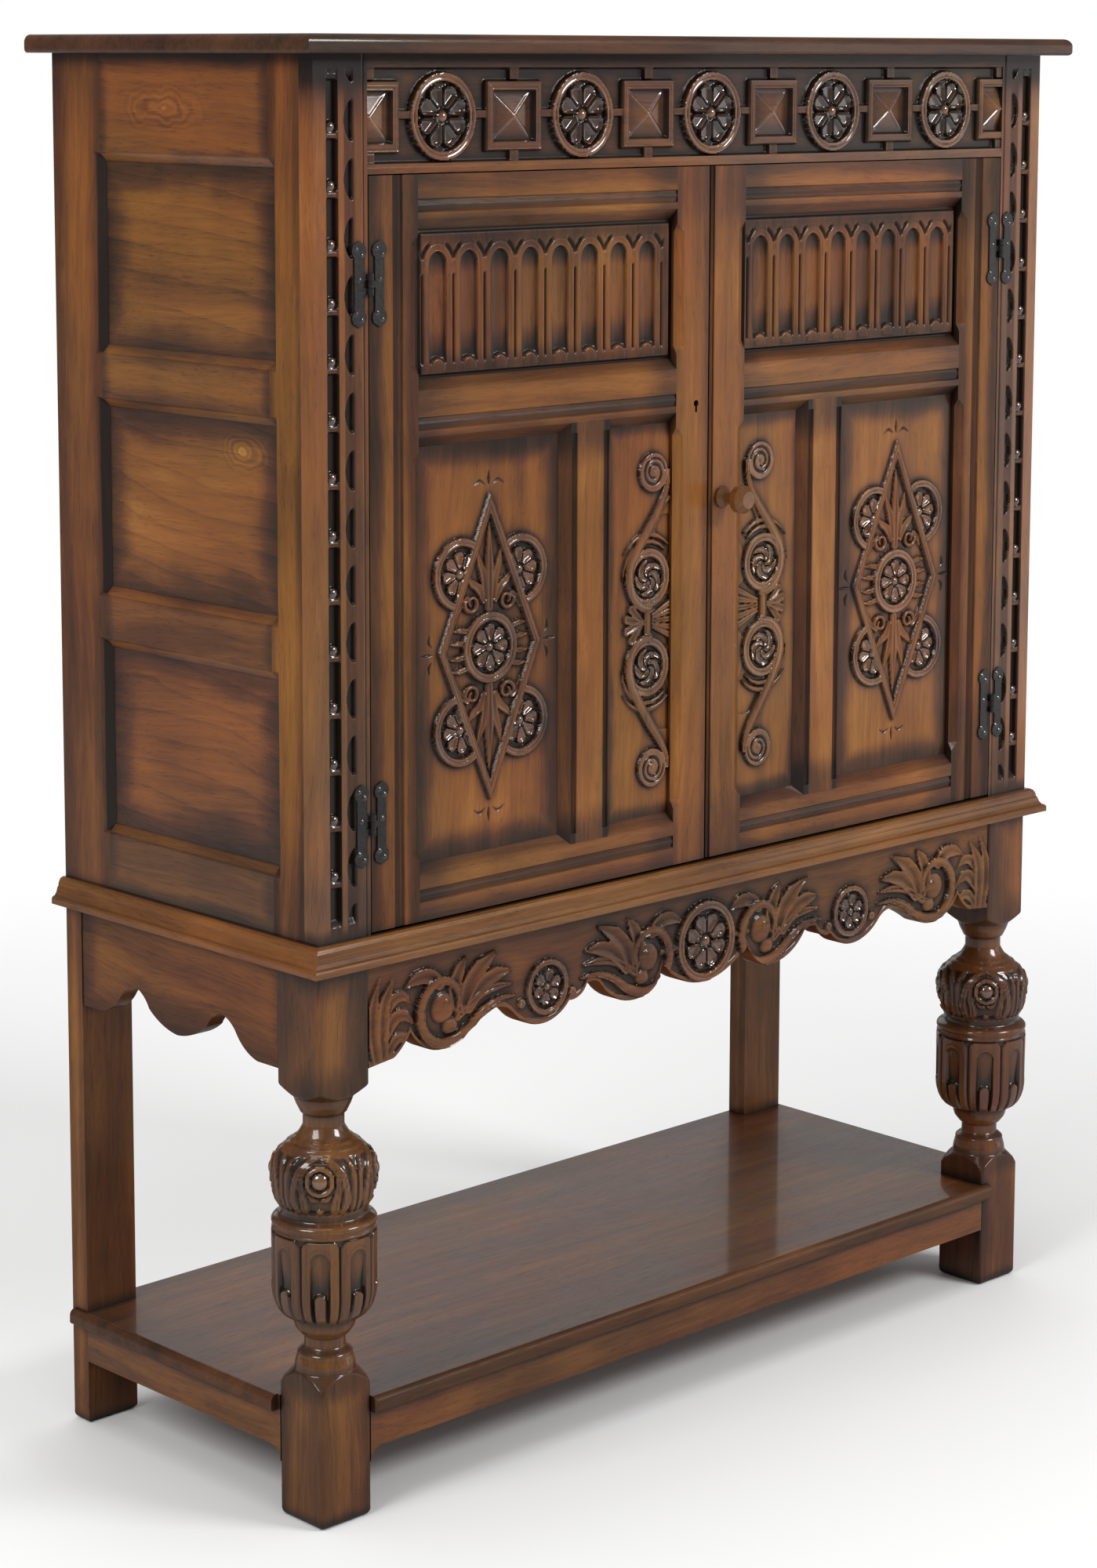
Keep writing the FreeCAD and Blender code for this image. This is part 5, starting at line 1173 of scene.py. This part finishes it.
def carveLeg(node, seed):
    side = -1 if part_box(node)[0].x < 0 else 1
    order = sorted(leg["profile"])
    low, high = order[0][0], order[-1][0]
    heights = np.concatenate([leg["foot"], np.linspace(low, high, int((high - low) / leg["fine"]) + 1), leg["block"]])
    a, z = np.meshgrid(np.arange(leg["turns"]) * 2 * np.pi / leg["turns"], heights, indexing="ij")
    turned = np.interp(z, [p[0] for p in order], [p[1] for p in order], left=99, right=99)
    arris = leg["arris"]
    half = leg["square"] - arris + np.sqrt(np.clip(arris ** 2 - np.clip(arris - z, 0, arris) ** 2, 0, None))
    square = np.minimum(half / np.maximum(abs(np.cos(a)), abs(np.sin(a))), half * 1.4142 - 0.9)      # worn corners
    base = np.where((z > leg["turned"][1]) | (z < leg["turned"][0]), np.minimum(square, turned), turned)
    tongues, fluted, drops = carveCup(a, z)
    cup = (z > leg["cup"][0]) & (z < leg["cup"][1])
    coverAt = fromNearest(a, np.pi / 4, np.pi / 2) * leg["belly"]
    leaves = (heightAt(carveCover(), coverAt, z) - 2.6) * (smooth(z, 313, 316) * smooth(-z, -371, -366))
    relief = np.where((z > leg["cover"][0]) & (z < leg["cover"][1]), leaves, np.where(cup, tongues, 0.0))
    radius = base + relief
    recess, worn = tiled(relief, 0)
    recess = np.where(cup & fluted, recess * (0.30 + 0.70 * notch(z, 240, 10)), recess)
    recess = np.clip(recess + sum(share * notch(z, at, reach) for at, share, reach in leg["dark"]), 0, 1)
    gloss = (0.25 * ((z > 150) & (z < 424)) + 0.75 * (np.hypot(coverAt, z - leg["boss"][0]) < 9)
             + 0.2 * (cup & drops))
    points = np.stack([side * (leg["corner"] - leg["square"] * mm) + radius * np.cos(a) * mm,
                       faceAt + leg["square"] * mm + radius * np.sin(a) * mm, z * mm], -1).reshape(-1, 3)
    index = np.arange(a.size).reshape(a.shape)
    quads = quadsOf(np.concatenate([index, index[:1]]))
    outer = {"x": sorted((side * wide, side * leg["inner"])), "y": (-wide, leg["rear"])}
    shades = [shadeBox(0.050, 0.28, **outer, z=(0.424, 0.556)), shadeBox(0.010, 0.20, z=(0.150, 0.424)),
              shadeBox(0.026, 0.22, **outer, z=(-0.004, 0.140))]
    finish = makeOak(node, "z", 0.30, 0.6, seed, shades, 1.0, carved=True, rough=0.0, darken=0.50, wear=0.06)
    made = addMesh(node + "_carved", points.tolist(),
                   quads.tolist() + [index[::-1, 0].tolist(), index[:, -1].tolist()],
                   {"recess": recess, "worn": worn, "gloss": gloss}, finish)
    shadeMesh(made, 42)
    standFor(made, node)


carveLeg("front_leg_left", 71.0)
carveLeg("front_leg_right", 79.0)
print("legs turned and carved")

# Front apron: leaf scrolls and rosettes that follow its shaped edge

apron = {"ground": -0.183, "left": 62.0, "right": 988.0, "rows": 100, "fine": 1.3, "leafRise": 3.9, "lobe": 1.3,
         "edgeBelow": 0.53, "width": 1050, "middle": (525, 489), "middleRing": (43.5, 4.4, 10.5),
         "middlePetals": (30.5, 4.6, 8), "side": (297, 482), "sideRing": (29.0, 3.4, 7.5),
         "sidePetals": (19.5, 3.4, 6)}
scrollLeaf = (      # lobes, far ones first, and the band that curls round the eye: points, width, rise, profile
    ([(176, 484), (172, 504), (178, 520), (187, 532)], (5.0, 7.0, 6.0, 0.8), (0.8, 0.7), "hollow"),
    ([(184, 482), (190, 502), (205, 518), (229, 531)], (5.0, 8.0, 7.5, 0.8), (0.9, 0.8), "hollow"),
    ([(190, 480), (206, 499), (226, 508), (247, 508)], (4.5, 7.0, 6.5, 1.0), (1.0, 0.8), "hollow"),
    ([(176, 474), (204, 490), (228, 495), (250, 494)], (5.0, 5.5, 5.0, 1.0), (1.0, 0.7), "vein"),
    ([(152, 512), (140, 521), (124, 522), (108, 515)], (5.5, 6.5, 6.0, 1.0), (0.9, 0.6), "hollow"),
    ([(252, 482), (230, 482), (208, 474), (188, 460), (166, 452), (147, 454), (133, 465), (127, 481), (130, 498),
      (142, 511), (158, 514), (171, 507), (177, 494), (174, 480)], (2.0, 4.5, 6.0, 6.2, 6.2, 6.2, 6.0, 5.2, 4.0, 3.0),
     (0.8, 1.15, 1.1), "strap"),
    ([(157, 487), (158, 487)], 15.5, 1.05, "round"),
    ([(157, 488), (160, 494), (166, 492)], (2.0, 1.2), 1.3, "round"),
    ([(164, 467), (168, 467)], 8.2, 1.0, "round"))
endLeaf = (([(72, 447), (67, 475), (68, 505), (77, 530)], (4, 5.5, 5, 0.8), (2.5, 3.2, 1.5)),
           ([(82, 447), (79, 475), (82, 505), (95, 528)], (4, 6.5, 6, 0.8), (2.5, 3.6, 1.5)),
           ([(84, 492), (92, 505), (104, 508), (116, 500)], (3, 5, 4.5, 0.8), (2.6, 1.6)),
           ([(83, 470), (94, 487), (106, 489), (120, 478)], (3, 6, 5, 0.8), (3.0, 1.6)),
           ([(84, 452), (95, 466), (106, 467), (115, 462)], (3, 5, 4, 0.8), (2.6, 1.6)))


def apronEdge():      # the lower edge that the model's apron has, as a line in the carving's own millimetres
    reach = -(apron["left"] * mm + caseLeft) + 0.0005
    least = {}
    for corner in frame["nodes"]["front_apron"].data.vertices:
        x, _, z = corner.co
        if z < apron["edgeBelow"] and abs(x) < reach:
            at = round((x - caseLeft) / mm, 1)
            least[at] = min(z / mm, least.get(at, 999.0))
    return np.array(sorted(least.items()))


def carveApron():
    node = "front_apron"
    edge = apronEdge()
    columns = np.linspace(apron["left"], apron["right"], int((apron["right"] - apron["left"]) / apron["fine"]) + 1)
    field = Carving(columns, np.linspace(0, 1, apron["rows"]), allRows=True)
    bottom = np.interp(columns, edge[:, 0], edge[:, 1])[:, None]
    field.v = bottom + field.v * (spanOf(node)[3] - bottom)
    fromEdge = field.v - bottom
    rim = smooth(fromEdge, -0.1, 0.9)
    field.height = 1.5 * smooth(-fromEdge, -6.5, -5.0) * rim

    def draw(points, start, way, width, rise, profile):
        broad = apron["lobe"] if profile == "hollow" else 1.0
        field.stroke(curve([(start + way * a, b) for a, b in points]), np.array(width) * broad, rise, profile)

    whole = apron["width"]
    for start, way in ((0, 1), (597, -1), (whole, -1), (453, 1)):
        for points, width, share, profile in scrollLeaf:
            draw(points, start, way, width, np.multiply(apron["leafRise"], share), profile)
    for start, way in ((0, 1), (whole, -1)):
        for points, width, rise in endLeaf:
            draw(points, start, way, width, rise, "hollow")
        side = start + way * apron["side"][0], apron["side"][1]
        field.flower(side, apron["sideRing"], apron["sidePetals"], button=4.2, turn=0.2)
        for at in (332, 262):
            field.roundel((start + way * at, 471), 5.5, 2.6, 5.5, dish=0.6, groove=0)
        field.stroke([(start + way * at, 488) for at in (460, 486)], 3.2, 2.6)
    field.flower(apron["middle"], apron["middleRing"], apron["middlePetals"], button=6.8)
    field.height = field.height * rim
    finish = makeOak(node, "x", 0.50, 0.5, 83.0, [], 0.7, carved=True, wear=0.06, darken=0.50)
    buildCarved(node, field, apron["ground"], finish)


carveApron()
print("apron carved")

# Hammered nails in the hinge leaves

nails = {"radius": 2.9, "dome": 1.3, "face": -0.1866, "low": 682.0, "high": 1191.3, "leafAway": 12.5, "gap": 459.4,
         "around": 10, "spots": ((-3.2, 33.0), (3.4, 27.0), (0.6, 4.5), (-3.0, -26.5), (3.2, -33.0)),
         "rings": ((0.80, 0.55), (0.0, 1.0)), "sizes": (0.85, 1.15), "seed": 5,
         "leaves": {"case_and_stand": [(-1, 1), (1, 1)], "left_door": [(-1, -1)], "right_door": [(1, -1)]}}


def makeNailTree():
    nodes, given = newTree("nailRows", "GeometryNodeTree",
                           {"Spots": "Object", "Nail": "Object", "Count": "Int", "Step": "Vector",
                            "Smallest": "Float", "Largest": "Float", "Seed": "Int", "Finish": "Material"},
                           {"Geometry": "Geometry"})
    places = nodes.real(nodes.row(given, given["Spots"]))
    sizes = nodes.add("FunctionNodeRandomValue", {2: given["Smallest"], 3: given["Largest"], "Seed": given["Seed"]},
                      data_type="FLOAT")
    heads = nodes.copies(places.outputs[0], given["Nail"], Scale=sizes.outputs[1])
    return nodes.close(nodes.real(heads), given["Finish"])


def makeNail():      # a low dome, its flat back on the plate
    around, radius, rise = nails["around"], nails["radius"] * mm, nails["dome"] * mm
    points = [(0.0, -rise, 0.0)]
    for share, out in nails["rings"]:
        points += [(radius * out * math.cos(2 * math.pi * k / around), -rise * share,
                    radius * out * math.sin(2 * math.pi * k / around)) for k in range(around)]
    faces = []
    for k in range(around):
        after = (k + 1) % around
        faces += [(0, 1 + k, 1 + after), (1 + k, 1 + around + k, 1 + around + after, 1 + after)]
    return addMesh("nail", points, [*faces, tuple(range(2 * around, around, -1))])


def nailHinges():
    tree, nail = makeNailTree(), makeNail()
    finish = makeIron("nailIron", (0.050, 0.046, 0.044), 0.20, 1.0)
    for body, leaves in nails["leaves"].items():
        spots = [((side * (nails["gap"] + way * nails["leafAway"]) + a) * mm, nails["face"],
                  (nails["low"] + b) * mm) for side, way in leaves for a, b in nails["spots"]]
        places = addMesh(body + "_nail_places", spots, [])
        made = runTree(body + "_hinge_nails", tree, {
            "Spots": places, "Nail": nail, "Count": 2, "Step": (0.0, 0.0, (nails["high"] - nails["low"]) * mm),
            "Smallest": nails["sizes"][0], "Largest": nails["sizes"][1], "Seed": nails["seed"], "Finish": finish})
        bpy.data.objects.remove(places)
        shadeMesh(made)
        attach(made, body)
    bpy.data.objects.remove(nail)


nailHinges()
print("hinge nails set")
